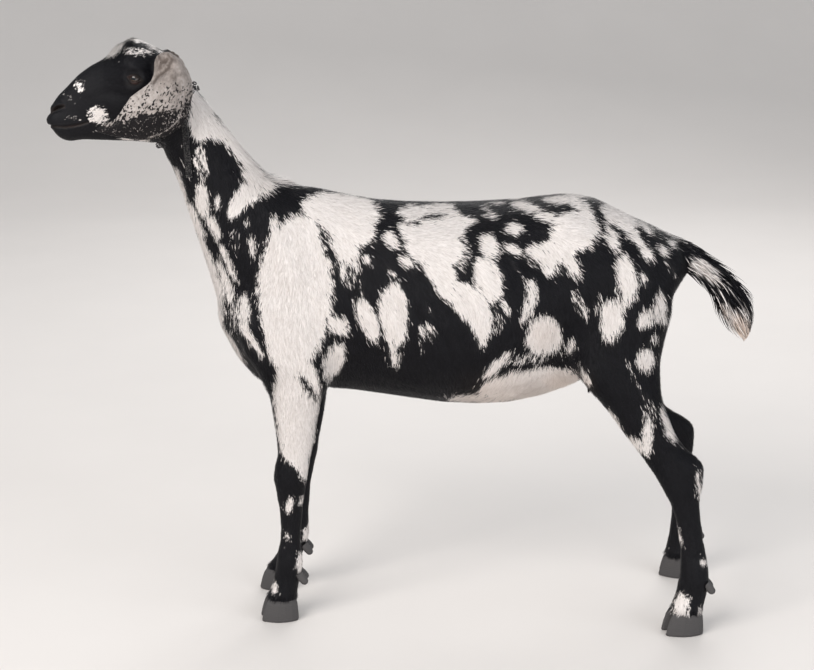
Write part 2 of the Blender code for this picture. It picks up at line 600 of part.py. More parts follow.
def prism_piece(outline, inset, low_y, high_y, name, where):
    """An outline in X and Z, drawn in by inset, run from low_y to high_y."""
    count = len(outline)
    middle = sum((Vector((x, 0, z)) for x, z in outline), Vector()) / count
    points = []
    for k in range(count):
        here = Vector((outline[k][0], 0, outline[k][1]))
        before = Vector((outline[k - 1][0], 0, outline[k - 1][1]))
        after = Vector((outline[(k + 1) % count][0], 0, outline[(k + 1) % count][1]))
        along_a = (here - before).normalized()
        along_b = (after - here).normalized()
        normal_a = Vector((-along_a.z, 0, along_a.x))
        normal_b = Vector((-along_b.z, 0, along_b.x))
        if normal_a.dot(middle - here) < 0:
            normal_a = -normal_a
        if normal_b.dot(middle - here) < 0:
            normal_b = -normal_b
        bisector = (normal_a + normal_b).normalized()
        points.append(here + bisector * (inset / max(SHARPEST_CORNER, bisector.dot(normal_a))))
    bm = bmesh.new()
    low = [bm.verts.new((p.x, low_y, p.z)) for p in points]
    high = [bm.verts.new((p.x, high_y, p.z)) for p in points]
    bm.faces.new(low)
    bm.faces.new(reversed(high))
    for k in range(count):
        j = (k + 1) % count
        bm.faces.new((low[k], high[k], high[j], low[j]))
    return object_from(bm, name, where)


def cut(obj, cutter, operation):
    """Puts one Boolean on obj."""
    modifier = obj.modifiers.new(operation.lower(), "BOOLEAN")
    modifier.operation = operation
    modifier.solver = "MANIFOLD"
    modifier.object = cutter


def grown(source, distance, name, where):
    """A copy of source with its surface moved out, so that what it cuts keeps off the original."""
    mesh = source.data.copy()
    normals = [vert.normal.copy() for vert in mesh.vertices]
    for vert, normal in zip(mesh.vertices, normals):
        vert.co += normal * distance * SCALE
    made = bpy.data.objects.new(name, mesh)
    where.objects.link(made)
    return made


def node_from(source, name, keeps, drops, where, skin):
    """A node: what of source lies inside every cutter in keeps and outside all in drops."""
    work = bpy.data.objects.new(name + "_work", source.data.copy())
    where.objects.link(work)
    for cutter in keeps:
        cut(work, cutter, "INTERSECT")
    for cutter in drops:
        cut(work, cutter, "DIFFERENCE")
    made = largest_body(evaluated(work, name, where))
    bpy.data.objects.remove(work)
    made.data.materials.clear()
    made.data.materials.append(skin)
    made.data.shade_smooth()
    return made


def tube_between(points, radii, sides, name, where):
    """A round bar along points, with its own radius at each."""
    rows = []
    for k, point in enumerate(points):
        ahead = points[min(k + 1, len(points) - 1)] - points[max(k - 1, 0)]
        turn = ahead.to_track_quat("Z", "Y").to_matrix()
        rows.append(
            [
                point
                + turn
                @ Vector(
                    (
                        radii[k] * math.cos(2 * math.pi * j / sides),
                        radii[k] * math.sin(2 * math.pi * j / sides),
                        0,
                    )
                )
                for j in range(sides)
            ]
        )
    return loft(rows, name, where)


def smooth_path(points, steps):
    """Catmull-Rom points through points, steps to each stretch."""
    ends = [points[0] * 2 - points[1], *points, points[-1] * 2 - points[-2]]
    path = []
    for k in range(1, len(ends) - 2):
        a, b, c, d = ends[k - 1 : k + 3]
        for step in range(steps):
            t = step / steps
            path.append(
                (
                    b * 2
                    + (c - a) * t
                    + (a * 2 - b * 5 + c * 4 - d) * t * t
                    + (b * 3 - a - c * 3 + d) * t * t * t
                )
                / 2
            )
    path.append(points[-1].copy())
    return path


def whole_body(where):
    """The doe's flesh in one piece, without ears, eyes, horn and coat."""
    pieces = collection("body_pieces", shown=False)
    torso_piece(pieces)
    slanted_piece(NECK, "neck_form", pieces)
    slanted_piece(HEAD, "head_form", pieces)
    for side_name, side in SIDES.items():
        leg_piece(FORELEG, side, RIGHT_FORE_STEPS, f"foreleg_form_{side_name}", pieces)
        leg_piece(HINDLEG, side, RIGHT_HIND_STEPS, f"hindleg_form_{side_name}", pieces)
    ellipsoid(Vector(VULVA[0]), VULVA[1], VULVA[2], "vulva_form", pieces)
    loft(tail_sections(DOCK_FILL, DOCK_ROWS), "dock_form", pieces)
    fused = joined(pieces, "fused_body", where)
    return softened(
        fused, BODY_VOXEL, BODY_SMOOTHING, BODY_SWELLS, BODY_TRIANGLES, "whole_body", where
    )


def whole_head(where):
    """The head and the top of the neck at a finer grain, for the face."""
    pieces = collection("head_pieces", shown=False)
    slanted_piece(HEAD, "head_form_fine", pieces)
    slanted_piece(NECK[:HEAD_NECK_ROWS], "neck_form_fine", pieces)
    for side_name, side in SIDES.items():
        (x, y, z), radii, lean = EAR_BASE
        ellipsoid(Vector((x, side * y, z)), radii, lean, f"ear_base_{side_name}", pieces)
        reach = EYE_RADIUS + LID_THICKNESS
        ball(eye_frame(side), (reach,) * 3, f"lid_{side_name}", pieces)
    fused = joined(pieces, "fused_head", where)
    return softened(
        fused, HEAD_VOXEL, HEAD_SMOOTHING, HEAD_SWELLS, HEAD_TRIANGLES, "whole_head", where
    )


def surface_point(tree, x, z, side):
    """Where a line across the head at x and z comes out of its surface on one side."""
    start = Vector((x, side * RAY_FROM_SIDE, z)) * SCALE
    hit = tree.ray_cast(start, Vector((0, -side, 0)))[0]
    return hit / SCALE


def mouth_cutter(head, where):
    tree = BVHTree.FromObject(head, bpy.context.evaluated_depsgraph_get())
    near = [surface_point(tree, x, z, LEFT) for x, z in MOUTH]
    front_z = MOUTH[-1][1]
    front = tree.ray_cast(Vector((RAY_FROM_FRONT, 0, front_z)) * SCALE, Vector((1, 0, 0)))[0] / SCALE
    far = [Vector((p.x, -p.y, p.z)) for p in reversed(near)]
    path = smooth_path([*near, front, *far], 2)
    last = len(path) - 1
    first, more = MOUTH_TAPER
    taper = [MOUTH_DEPTH * min(1.0, first + more * min(k, last - k)) for k in range(last + 1)]
    return tube_between(path, taper, MOUTH_SIDES, "mouth_cutter", where)


def nostril_cutter(head, side, side_name, where):
    tree = BVHTree.FromObject(head, bpy.context.evaluated_depsgraph_get())
    points = [surface_point(tree, x, z, side) for x, z in NOSTRIL]
    return tube_between(points, NOSTRIL_WIDTHS, NOSTRIL_SIDES, f"nostril_cutter_{side_name}", where)


def eye_frame(side):
    """The turn that takes Z to the way the eye looks and X to the corners of the lids."""
    look = Vector((EYE_LOOK.x, side * EYE_LOOK.y, EYE_LOOK.z))
    corner = (LID_CORNERS - look * LID_CORNERS.dot(look)).normalized()
    up = look.cross(corner)
    turn = Matrix((corner, up, look)).transposed().to_4x4()
    centre = Vector((EYE_CENTRE.x, side * EYE_CENTRE.y, EYE_CENTRE.z))
    return Matrix.Translation(centre) @ turn


def ball(place, radii, name, where, segments=16, rings=9):
    """A ball of three radii on the frame place, with its pole along that frame's Z."""
    bm = bmesh.new()
    bmesh.ops.create_uvsphere(bm, u_segments=segments, v_segments=rings, radius=1.0)
    bmesh.ops.transform(bm, matrix=place @ Matrix.Diagonal((*radii, 1.0)), verts=bm.verts)
    return object_from(bm, name, where)


def dressed_head(head, where):
    """The head with its eye openings, mouth line and nostrils."""
    made = bpy.data.objects.new("dressed_head", head.data.copy())
    where.objects.link(made)
    for side_name, side in SIDES.items():
        frame = eye_frame(side)
        socket = ball(frame, (EYE_RADIUS + GAP,) * 3, f"socket_{side_name}", where)
        cut(made, socket, "DIFFERENCE")
        slot = frame @ Matrix.Translation((0, 0, EYE_RADIUS * EYE_OPENING_OUT))
        opening = ball(slot, EYE_OPENING, f"opening_{side_name}", where)
        cut(made, opening, "DIFFERENCE")
        cut(made, nostril_cutter(head, side, side_name, where), "DIFFERENCE")
    cut(made, mouth_cutter(head, where), "DIFFERENCE")
    return made


def eyes(where, eye_finish):
    for side_name, side in SIDES.items():
        eye = ball(eye_frame(side), (EYE_RADIUS,) * 3, f"eye_{side_name}", where)
        eye.data.materials.append(eye_finish)
        eye.data.shade_smooth()


def table_at(values, share):
    """The value a share of the way along a row of stations."""
    place = share * (len(values) - 1)
    k = min(int(place), len(values) - 2)
    return values[k].lerp(values[k + 1], place - k)


def ear_points(side):
    """Rows of points of the ear's middle surface, from root to tip."""
    edges = []
    for column in zip(*EAR):
        points = []
        for x, y, z in column:
            if side == RIGHT:
                free = min(1.0, max(0.0, (y - EAR_ROOT_OUT) / EAR_FREE_AFTER))
                x += RIGHT_EAR_SHIFT[0] * free
                y = EAR_ROOT_OUT + (y - EAR_ROOT_OUT) * RIGHT_EAR_TUCK
                z += RIGHT_EAR_SHIFT[1] * free
            points.append(Vector((x, side * y, z)))
        path = smooth_path(points, 4)
        edges.append([table_at(path, k / EAR_STEPS) for k in range(EAR_STEPS + 1)])
    rows = []
    for front, middle, rear in zip(*edges):
        pull = middle * 2 - (front + rear) / 2
        row = []
        for j in range(EAR_STEPS_ACROSS + 1):
            t = j / EAR_STEPS_ACROSS
            row.append(front * (1 - t) ** 2 + pull * 2 * t * (1 - t) + rear * t * t)
        rows.append(row)
    return rows


def ear(side, side_name, head_clear, where, helpers, finish):
    """A hanging ear, curled to a cup at its root, cut where it meets the head."""
    bm = bmesh.new()
    grid = [[bm.verts.new(p) for p in row] for row in ear_points(side)]
    for a, b in zip(grid, grid[1:]):
        for j in range(EAR_STEPS_ACROSS):
            bm.faces.new((a[j], a[j + 1], b[j + 1], b[j]))
    sheet = object_from(bm, f"ear_sheet_{side_name}", helpers)
    thick = sheet.modifiers.new("thickness", "SOLIDIFY")
    thick.thickness = EAR_THICKNESS * SCALE
    thick.offset = 0.0
    thick.use_even_offset = True
    cut(sheet, head_clear, "DIFFERENCE")
    made = largest_body(evaluated(sheet, f"ear_{side_name}", where))
    bpy.data.objects.remove(sheet)
    made.data.materials.append(finish)
    made.data.shade_smooth()
    return made


def claw_sections(toe, heel, y, inner):
    """Rows of a cloven hoof's half, from the coronet down. inner is the side, -1 or 1, of its twin."""
    rows = []
    for z, spread, wide, less in CLAW_ROWS:
        front = toe - TOE_SPREAD * spread + less
        back = heel + HEEL_SPREAD * spread - less
        row = []
        for k in range(CLAW_SIDES):
            angle = 2 * math.pi * k / CLAW_SIDES
            lengthwise, sideways = math.cos(angle), math.sin(angle)
            share = (1 - lengthwise) / 2  # 0 at the toe
            taper = CLAW_TOE_WIDTH + (1 - CLAW_TOE_WIDTH) * min(1.0, share / CLAW_FULL_BY)
            bulge = CLAW_BULGE_IN if sideways * inner > 0 else CLAW_BULGE_OUT
            x = front + (back - front) * share
            row.append(Vector((x, y + CLAW_HALF_WIDTH * wide * sideways * taper * bulge, z)))
        rows.append(row)
    return rows


def turned(rows, middle, degrees):
    """The rows turned about an upright line through middle."""
    turn = Matrix.Rotation(math.radians(degrees), 3, "Z")
    return [[middle + turn @ (point - middle) for point in row] for row in rows]


def feet(where, finish):
    """Two claws under each pastern."""
    for leg, table, steps in (
        ("fore", FORELEG, RIGHT_FORE_STEPS),
        ("hind", HINDLEG, RIGHT_HIND_STEPS),
    ):
        _, toe, heel, _, out = table[-2]
        for side_name, side in SIDES.items():
            shift = step_at(steps, side, CORONET_HEIGHT / 2)
            middle = Vector(((toe + heel) / 2 + shift, side * out, 0))
            for claw, way in (("outer", side), ("inner", -side)):
                y = side * out + way * CLAW_FROM_MIDDLE
                rows = claw_sections(
                    toe + shift + CLAW_DRAWN_IN, heel + shift - CLAW_DRAWN_IN, y, -way
                )
                rows = turned(rows, middle, -side * TOES_OUT[leg])
                made = loft(rows, f"claw_{leg}_{side_name}_{claw}", where)
                made.data.materials.append(finish)


def dewclaws(where, helpers, body_clear, finish):
    """Two small horn cones behind each fetlock, cut where they meet the leg."""
    for leg, table, steps in (
        ("fore", FORELEG, RIGHT_FORE_STEPS),
        ("hind", HINDLEG, RIGHT_HIND_STEPS),
    ):
        back, height = DEWCLAWS[leg]
        out = table[-4][4]
        for side_name, side in SIDES.items():
            shift = step_at(steps, side, height)
            for claw, way in (("outer", side), ("inner", -side)):
                spread = Vector((1, way, 1))
                root = Vector((back + shift, side * out, height)) + DEWCLAW_ROOT * spread
                tip = root + DEWCLAW_REACH * spread
                line = [root.lerp(tip, share) for share in DEWCLAW_STEPS]
                name = f"dewclaw_{leg}_{side_name}_{claw}"
                cone = tube_between(line, DEWCLAW_RADII, DEWCLAW_SIDES, name + "_form", helpers)
                cut(cone, body_clear, "DIFFERENCE")
                made = largest_body(evaluated(cone, name, where))
                bpy.data.objects.remove(cone)
                made.data.materials.append(finish)


def tail_frame(share):
    """The tail's middle, and its reach upwards and sideways, a share of the way from root to tip."""
    top = table_at([Vector((tx, 0, tz)) for tx, tz, *_ in TAIL], share)
    bottom = table_at([Vector((bx, 0, bz)) for _, _, bx, bz, _ in TAIL], share)
    wide = table_at([Vector((0, width, 0)) for *_, width in TAIL], share)
    return (top + bottom) / 2, (top - bottom) / 2, wide


def tail_core(where):
    """The dock and the roots of its hair: full size at the rump, and slimmer under the locks."""
    rows = []
    for share, fill in TAIL_CORE:
        middle, up, wide = tail_frame(share)
        top, bottom = middle + up * fill, middle - up * fill
        rows.append(section(top, bottom, wide.y * fill, 0.5, 2.0, 2.0, TAIL_CORE_SIDES))
    loft(rows, "tail_core", where)


def tail_lock(root, tip, turn, width, where):
    """One flat, tapered lock that leaves the core at the share root and lies along it to the share tip."""
    path = []
    last = len(LOCK_TAPER) - 1
    for k in range(last + 1):
        u = k / last
        middle, up, wide = tail_frame(root + (tip - root) * u)
        angle = turn + LOCK_SWAY * math.sin(LOCK_SWAY_TURNS[0] * u + turn * LOCK_SWAY_TURNS[1])
        spoke = up * math.sin(angle) + wide * math.cos(angle)
        fill = LOCK_FILL[0] + LOCK_FILL[1] * math.sin(u * math.pi / 2)
        path.append((middle + spoke * fill, spoke))
    rows = []
    for k, (point, spoke) in enumerate(path):
        ahead = (path[min(k + 1, last)][0] - path[max(k - 1, 0)][0]).normalized()
        across = ahead.cross(spoke).normalized()
        out = across.cross(ahead)
        half, thin = width / 2 * LOCK_TAPER[k], LOCK_THICKNESS / 2 * LOCK_TAPER[k]
        across, out = across * half, out * thin
        rows.append([point + across, point + out, point - across, point - out])
    loft(rows, "tail_lock", where)


def tail_node(where, helpers, finish):
    """The dock with its hair in overlapping locks, cut flat where it meets the rump."""
    pieces = collection("tail_pieces", shown=False)
    tail_core(pieces)
    chance = random.Random(LOCK_SEED)
    for layer, (root, count) in enumerate(LOCK_LAYERS):
        for k in range(count):
            turn = 2 * math.pi * (k + 0.5 * (layer % 2)) / count
            turn += chance.uniform(-LOCK_TURN_LOOSE, LOCK_TURN_LOOSE)
            reach = LOCK_REACH * chance.uniform(*LOCK_REACH_RANGE)
            tip = min(root + reach, chance.uniform(*LOCK_END_RANGE))
            start = root + chance.uniform(-LOCK_ROOT_LOOSE, LOCK_ROOT_LOOSE)
            tail_lock(start, tip, turn, LOCK_WIDTH * chance.uniform(*LOCK_WIDTH_RANGE), pieces)
    form = joined(pieces, "tail_form", helpers)
    rump = slab_piece(TAIL_PLANE_AT + TAIL_PLANE_OUT * GAP, TAIL_PLANE_OUT, "tail_keep", helpers)
    return node_from(form, "tail", [rump], [], where, finish)


def udder_node(where, helpers, body_clear, finish):
    """A small udder with two teats, cut where it meets the belly and thighs."""
    pieces = collection("udder_pieces", shown=False)
    ellipsoid(UDDER_CENTRE, UDDER_RADII, UDDER_LEAN, "udder_form", pieces, subdivisions=2)
    for side in SIDES.values():
        top = Vector((TEAT_AT.x, side * TEAT_AT.y, TEAT_AT.z))
        path = [top]
        for back, out, share in TEAT_LEAN:
            path.append(top + Vector((back, side * out, -TEAT_LENGTH * share)))
        radii = [TEAT_RADIUS * wide for wide in TEAT_WIDTHS]
        tube_between(path, radii, TEAT_SIDES, f"teat_{side}", pieces)
    form = joined(pieces, "udder_fused", helpers)
    cut(form, body_clear, "DIFFERENCE")
    made = largest_body(evaluated(form, "udder", where))
    bpy.data.objects.remove(form)
    made.data.materials.append(finish)
    made.data.shade_smooth()
    return made


def flesh_nodes(body, head, where, helpers, skin):
    """Parts the fused body into named nodes, each GAP from the next."""
    half = GAP / 2
    nodes = {}
    head_slab = slab_piece(HEAD_PLANE_AT + HEAD_PLANE_OUT * half, HEAD_PLANE_OUT, "head_slab", helpers)
    neck_back = slab_piece(HEAD_PLANE_AT - HEAD_PLANE_OUT * half, -HEAD_PLANE_OUT, "neck_back", helpers)
    neck_slab = slab_piece(NECK_PLANE_AT + NECK_PLANE_OUT * half, NECK_PLANE_OUT, "neck_slab", helpers)
    torso_slab = slab_piece(NECK_PLANE_AT - NECK_PLANE_OUT * half, -NECK_PLANE_OUT, "torso_slab", helpers)
    tail_clear = loft(tail_sections(TAIL_CLEAR), "tail_clear_form", helpers)
    cut(tail_clear, slab_piece(TAIL_PLANE_AT, TAIL_PLANE_OUT, "tail_slab", helpers), "INTERSECT")
    tail_clear = evaluated(tail_clear, "tail_clear", helpers)
    low_corner = (-FAR_ALONG, -FAR_OUT, LEG_PLANE + half)
    high_corner = (FAR_ALONG, FAR_OUT, FAR_ALONG)
    above = box_piece(low_corner, high_corner, "above_legs", helpers)
    nodes["head"] = node_from(head, "head", [head_slab], [], where, skin)
    nodes["neck"] = node_from(body, "neck", [neck_slab, neck_back], [], where, skin)
    prisms = []
    for side_name, side in SIDES.items():
        for part, outline, near in (
            ("shoulder", SHOULDER_OUTLINE, SHOULDER_FROM),
            ("thigh", THIGH_OUTLINE, THIGH_FROM),
        ):
            low, high = sorted((side * near, side * FAR_OUT))
            outer = prism_piece(outline, -half, low, high, f"{part}_gap_{side_name}", helpers)
            low, high = sorted((side * (near + GAP), side * FAR_OUT))
            inner = prism_piece(outline, half, low, high, f"{part}_keep_{side_name}", helpers)
            prisms.append(outer)
            name = f"{part}_{side_name}"
            nodes[name] = node_from(body, name, [inner, torso_slab, above], [tail_clear], where, skin)
        low, high = sorted((side * MIDLINE_CLEAR, side * FAR_OUT))
        for leg, ends, plane, parts in (
            ("fore", FORELEG_ENDS, KNEE_PLANE, ("forearm", "fore_cannon")),
            ("hind", HINDLEG_ENDS, HOCK_PLANE, ("shank", "hind_cannon")),
        ):
            front, back = ends
            upper = box_piece(
                (front, low, plane + half), (back, high, LEG_PLANE - half),
                f"{leg}_upper_{side_name}", helpers,
            )
            lower = box_piece(
                (front, low, CORONET_HEIGHT), (back, high, plane - half),
                f"{leg}_lower_{side_name}", helpers,
            )
            for part, keep in zip(parts, (upper, lower)):
                name = f"{part}_{side_name}"
                nodes[name] = node_from(body, name, [keep], [], where, skin)
    trunk = box_piece(low_corner, high_corner, "trunk_high", helpers)
    belly_low = (BELLY_ENDS[0], -FAR_OUT, LEG_PLANE - BELLY_BELOW)
    belly_high = (BELLY_ENDS[1], FAR_OUT, LEG_PLANE + BELLY_ABOVE)
    belly = box_piece(belly_low, belly_high, "trunk_low", helpers)
    lows = collection("trunk_pieces", shown=False)
    for obj in (trunk, belly):
        helpers.objects.unlink(obj)
        lows.objects.link(obj)
    reach = joined(lows, "trunk_reach", helpers)
    nodes["torso"] = node_from(body, "torso", [torso_slab, reach], [*prisms, tail_clear], where, skin)
    return nodes


def neck_hit(tree, start, way):
    return tree.ray_cast(start * SCALE, way)[0] / SCALE


def stand_off(point, trees, distance):
    """Moves point away from the surfaces until it is this far from each."""
    for _ in range(12):
        for tree in trees:
            near, normal, _, far = tree.find_nearest(point * SCALE)
            inside = (point * SCALE - near).dot(normal) < 0
            short = distance * SCALE + (far if inside else -far)
            if short > 0:
                point = point + normal * (short / SCALE + 0.00005)
    return point


def collar_loop(trees, where, finish):
    """A chain round the throat, a hair's breadth off the skin. Returns where the throat ring hangs."""
    ring = []
    for k in range(COLLAR_STEPS):
        angle = 2 * math.pi * k / COLLAR_STEPS
        way = COLLAR_UP * math.cos(angle) + Vector((0, math.sin(angle), 0))
        hit = neck_hit(trees[0], COLLAR_MIDDLE + way * 0.3, -way)
        ring.append(stand_off(hit + way * CHAIN_RADIUS, trees, CHAIN_RADIUS + CHAIN_STAND_OFF))
    bm = bmesh.new()
    rows = []
    for k, point in enumerate(ring):
        ahead = (ring[(k + 1) % COLLAR_STEPS] - ring[k - 1]).normalized()
        out = (point - COLLAR_MIDDLE).normalized()
        out = (out - ahead * out.dot(ahead)).normalized()
        side = ahead.cross(out)
        row = []
        for j in range(CHAIN_SIDES):
            turn = 2 * math.pi * j / CHAIN_SIDES
            spoke = out * math.cos(turn) + side * math.sin(turn)
            row.append(bm.verts.new(point + spoke * CHAIN_RADIUS))
        rows.append(row)
    for k in range(COLLAR_STEPS):
        a, b = rows[k], rows[(k + 1) % COLLAR_STEPS]
        for j in range(CHAIN_SIDES):
            i = (j + 1) % CHAIN_SIDES
            bm.faces.new((a[j], a[i], b[i], b[j]))
    made = object_from(bm, "collar_chain", where)
    made.data.materials.append(finish)
    return ring[THROAT_RING_STEP]


def throat_ring(under, where, finish):
    """The small ring that hangs at the throat."""
    drop = (CHAIN_RADIUS + GAP + THROAT_RING_WIRE) * THROAT_RING_SLACK + THROAT_RING_RADIUS
    bpy.ops.mesh.primitive_torus_add(
        major_segments=THROAT_RING_SIDES,
        minor_segments=THROAT_WIRE_SIDES,
        major_radius=THROAT_RING_RADIUS * SCALE,
        minor_radius=THROAT_RING_WIRE * SCALE,
        location=(under + Vector((0, 0, -drop))) * SCALE,
        rotation=(math.pi / 2, 0, 0),
    )
    made = bpy.context.object
    made.name = "collar_ring"
    for owner in list(made.users_collection):
        owner.objects.unlink(made)
    where.objects.link(made)
    made.data.materials.append(finish)


def spare_chain(trees, where, finish):
    """The collar's spare end, a flat length of chain that hangs against the left side of the neck."""
    points = []
    for k in range(SPARE_STEPS):
        at = SPARE_TOP.lerp(SPARE_FOOT, k / (SPARE_STEPS - 1))
        hit = neck_hit(trees[0], Vector((at.x, -0.2, at.z)), Vector((0, 1, 0)))
        over = (CHAIN_RADIUS + GAP) * 2 * max(0.0, 1 - k / 1.5)
        lift = SPARE_THICKNESS + GAP * 2 + over
        points.append(stand_off(hit + Vector((0, -lift, 0)), trees, lift))
    rows = []
    for k, point in enumerate(points):
        ahead = (points[min(k + 1, SPARE_STEPS - 1)] - points[max(k - 1, 0)]).normalized()
        across = Vector((1, 0, 0))
        across = (across - ahead * across.dot(ahead)).normalized() * SPARE_WIDTH / 2
        out = ahead.cross(across).normalized() * SPARE_THICKNESS / 2
        rows.append([point - across - out, point + across - out, point + across + out, point - across + out])
    made = loft(rows, "collar_spare_chain", where)
    made.data.materials.append(finish)


def collar(nodes, where, finish):
    graph = bpy.context.evaluated_depsgraph_get()
    trees = [BVHTree.FromObject(nodes[name], graph) for name in ("neck", "head")]
    throat_ring(collar_loop(trees, where, finish), where, finish)
    spare_chain(trees, where, finish)


def main():
    clear_scene()
    doe = collection("mini_nubian_doe")
    helpers = collection("cutters", shown=False)
    coat = material("short_coat", BLACK_HAIR, 0.65)
    ear_coat = material("ear_coat", GREY_EAR, 0.7)
    horn = material("hoof_horn", HORN_GREY, 0.5)
    eye_finish = material("eye", EYE_BROWN, 0.1)
    bare_skin = material("bare_skin", SKIN_PINK, 0.6)
    chain_finish = material("blackened_chain", STEEL_BLACK, 0.35, metallic=0.8)
    body = whole_body(helpers)
    plain_head = whole_head(helpers)
    head = dressed_head(plain_head, helpers)
    nodes = flesh_nodes(body, evaluated(head, "head_full", helpers), doe, helpers, coat)
    eyes(doe, eye_finish)
    head_clear = grown(plain_head, GAP, "head_clear", helpers)
    body_clear = grown(body, GAP, "body_clear", helpers)
    for side_name, side in SIDES.items():
        ear(side, side_name, head_clear, doe, helpers, ear_coat)
    feet(doe, horn)
    dewclaws(doe, helpers, body_clear, horn)
    tail_node(doe, helpers, coat)
    udder_node(doe, helpers, body_clear, bare_skin)
    collar(nodes, doe, chain_finish)
    for obj in helpers.objects:
        obj.hide_render = True
        obj.display_type = "WIRE"


main()
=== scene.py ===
import math

import bmesh
import bpy
import numpy as np
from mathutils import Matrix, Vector
from mathutils.bvhtree import BVHTree
from mathutils.kdtree import KDTree


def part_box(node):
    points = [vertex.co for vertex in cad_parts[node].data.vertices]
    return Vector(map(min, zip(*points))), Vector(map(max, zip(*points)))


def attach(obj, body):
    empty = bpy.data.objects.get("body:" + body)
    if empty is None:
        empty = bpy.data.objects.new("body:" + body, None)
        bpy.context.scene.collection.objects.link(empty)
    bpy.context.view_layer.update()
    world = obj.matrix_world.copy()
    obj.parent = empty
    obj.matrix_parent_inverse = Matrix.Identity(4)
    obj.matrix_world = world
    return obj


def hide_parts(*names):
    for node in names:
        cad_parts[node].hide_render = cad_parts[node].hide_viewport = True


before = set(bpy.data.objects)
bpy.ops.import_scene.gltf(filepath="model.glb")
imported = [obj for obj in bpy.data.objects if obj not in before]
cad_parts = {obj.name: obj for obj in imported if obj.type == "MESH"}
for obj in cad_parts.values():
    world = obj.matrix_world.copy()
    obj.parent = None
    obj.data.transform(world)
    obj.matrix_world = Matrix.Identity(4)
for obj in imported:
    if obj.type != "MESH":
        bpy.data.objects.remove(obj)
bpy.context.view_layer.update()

# The camera stands where the photograph was taken from. Photo pixels are in the 814 x 670 frame.
camera = {
    "distance": 2.8,
    "height": 1.194,
    "tiltDegrees": 15.35,
    "focalPixels": 1958.0,
    "frameWide": 814,
    "frameTall": 670,
    "sensor": 36.0,
}

skin = {
    "voxel": 0.0037,
    "earVoxel": 0.0017,
    "closeGaps": 0.0003,  # the solids stand 0.35 mm apart
    "weld": 2e-6,
    "smoothSteps": 12,
    "headSteps": 3,
    "faceSteps": 2,
    "earSteps": 10,
    "headFrom": -0.338,  # the head's skin is finer than the body's
    "headBlend": 0.01,
    "nearEye": 0.027,  # it is finer again round the eyes, the nostrils and the mouth
    "nearLine": 0.008,
    "muzzleFrom": -0.45,
    "coatDepth": 0.0026,
    "legDepth": (0.20, 0.40, 0.36),  # heights, and the share of the depth that is left at the feet
    "faceDepth": (-0.37, -0.32, 0.72),  # places along X, and the share that is lost at the nose
    "flesh": [
        "head", "neck", "torso", "udder",
        "shoulder_left", "shoulder_right", "forearm_left", "forearm_right",
        "fore_cannon_left", "fore_cannon_right", "thigh_left", "thigh_right",
        "shank_left", "shank_right", "hind_cannon_left", "hind_cannon_right",
    ],
    "ears": ["ear_left", "ear_right"],
}

# The dock under the tail's hair: x, z, half height, half width
dock = [
    (0.378, 0.563, 0.0190, 0.0185),
    (0.398, 0.556, 0.0185, 0.0190),
    (0.420, 0.543, 0.0155, 0.0175),
    (0.444, 0.521, 0.0120, 0.0140),
    (0.462, 0.499, 0.0090, 0.0110),
    (0.476, 0.476, 0.0055, 0.0070),
]

eye = {
    "centre": (-0.3824, 0.0360, 0.8111),
    "radius": 0.0122,
    "look": (-0.22, 0.96, 0.10),
    "along": (0.98, 0.0, -0.17),  # from the front corner to the back one
    "shift": 0.0015,  # of the opening, towards the back corner
    "halfLength": 0.0102,
    "upper": 0.0047,
    "lower": 0.0052,
    "lid": 0.0013,
    "rows": 40,
    "sides": 56,
    "cap": 0.62,  # share of the ball that is made
    "fit": 0.972,
    "swell": (0.030, 0.55),  # of the cornea: height and reach
}


def smoothStep(low, high, value):
    t = np.clip((value - low) / (high - low), 0.0, 1.0)
    return t * t * (3 - 2 * t)


def unit(vectors):
    return vectors / np.maximum(np.linalg.norm(vectors, axis=-1, keepdims=True), 1e-12)


def hill(a, b, atA, atB, reachA, reachB):
    # 1 at a place, and fading out round it
    return np.exp(-((a - atA) / reachA) ** 2 - ((b - atB) / reachB) ** 2)


def ramped(strength, low, high, value):
    return strength * smoothStep(low, high, value)


mirrorAcross = np.array([1, -1, 1])


def onNearSide(points, beyond=0.0):
    # the same places, with those of the far side brought over to the side that the photograph shows
    return np.where(points[:, 1:2] > beyond, points * mirrorAcross, points)


def photoPixels(points):
    # where the photograph shows these points
    tilt = math.radians(camera["tiltDegrees"])
    ahead = points[:, 1] + camera["distance"]
    down = camera["height"] - points[:, 2]
    deep = ahead * math.cos(tilt) + down * math.sin(tilt)
    high = -down * math.cos(tilt) + ahead * math.sin(tilt)
    scale = camera["focalPixels"] / deep
    return camera["frameWide"] / 2 + points[:, 0] * scale, camera["frameTall"] / 2 - high * scale


# What the corners of the noise are hashed with
hashPrimes = (73856093, 19349663, 83492791)
hashSeed, hashStir, hashMost = 2654435761, 1274126177, 0x7FFFFFFF


def latticeNoise(points, size, seed):
    # smooth value noise, -1 to 1, from a hash of the lattice corners; each use has its own seed
    scaled = points / size
    base = np.floor(scaled).astype(np.int64)
    part = scaled - base
    part = part * part * (3 - 2 * part)
    total = np.zeros(len(points))
    for corner in range(8):
        step = np.array([corner & 1, corner >> 1 & 1, corner >> 2 & 1])
        cell = base + step
        mixed = seed * hashSeed
        for axis in range(3):
            mixed = mixed ^ (cell[:, axis] * hashPrimes[axis])
        mixed = (mixed ^ (mixed >> 13)) * hashStir & hashMost
        value = mixed / (hashMost // 2) - 1
        weight = np.prod(np.where(step == 1, part, 1 - part), axis=1)
        total += value * weight
    return total


def meshFrom(name, points, faces):
    made = bpy.data.meshes.new(name)
    made.from_pydata([tuple(p) for p in points], [], faces)
    made.update()
    return made


def placed(name, mesh):
    made = bpy.data.objects.new(name, mesh)
    bpy.context.scene.collection.objects.link(made)
    return made


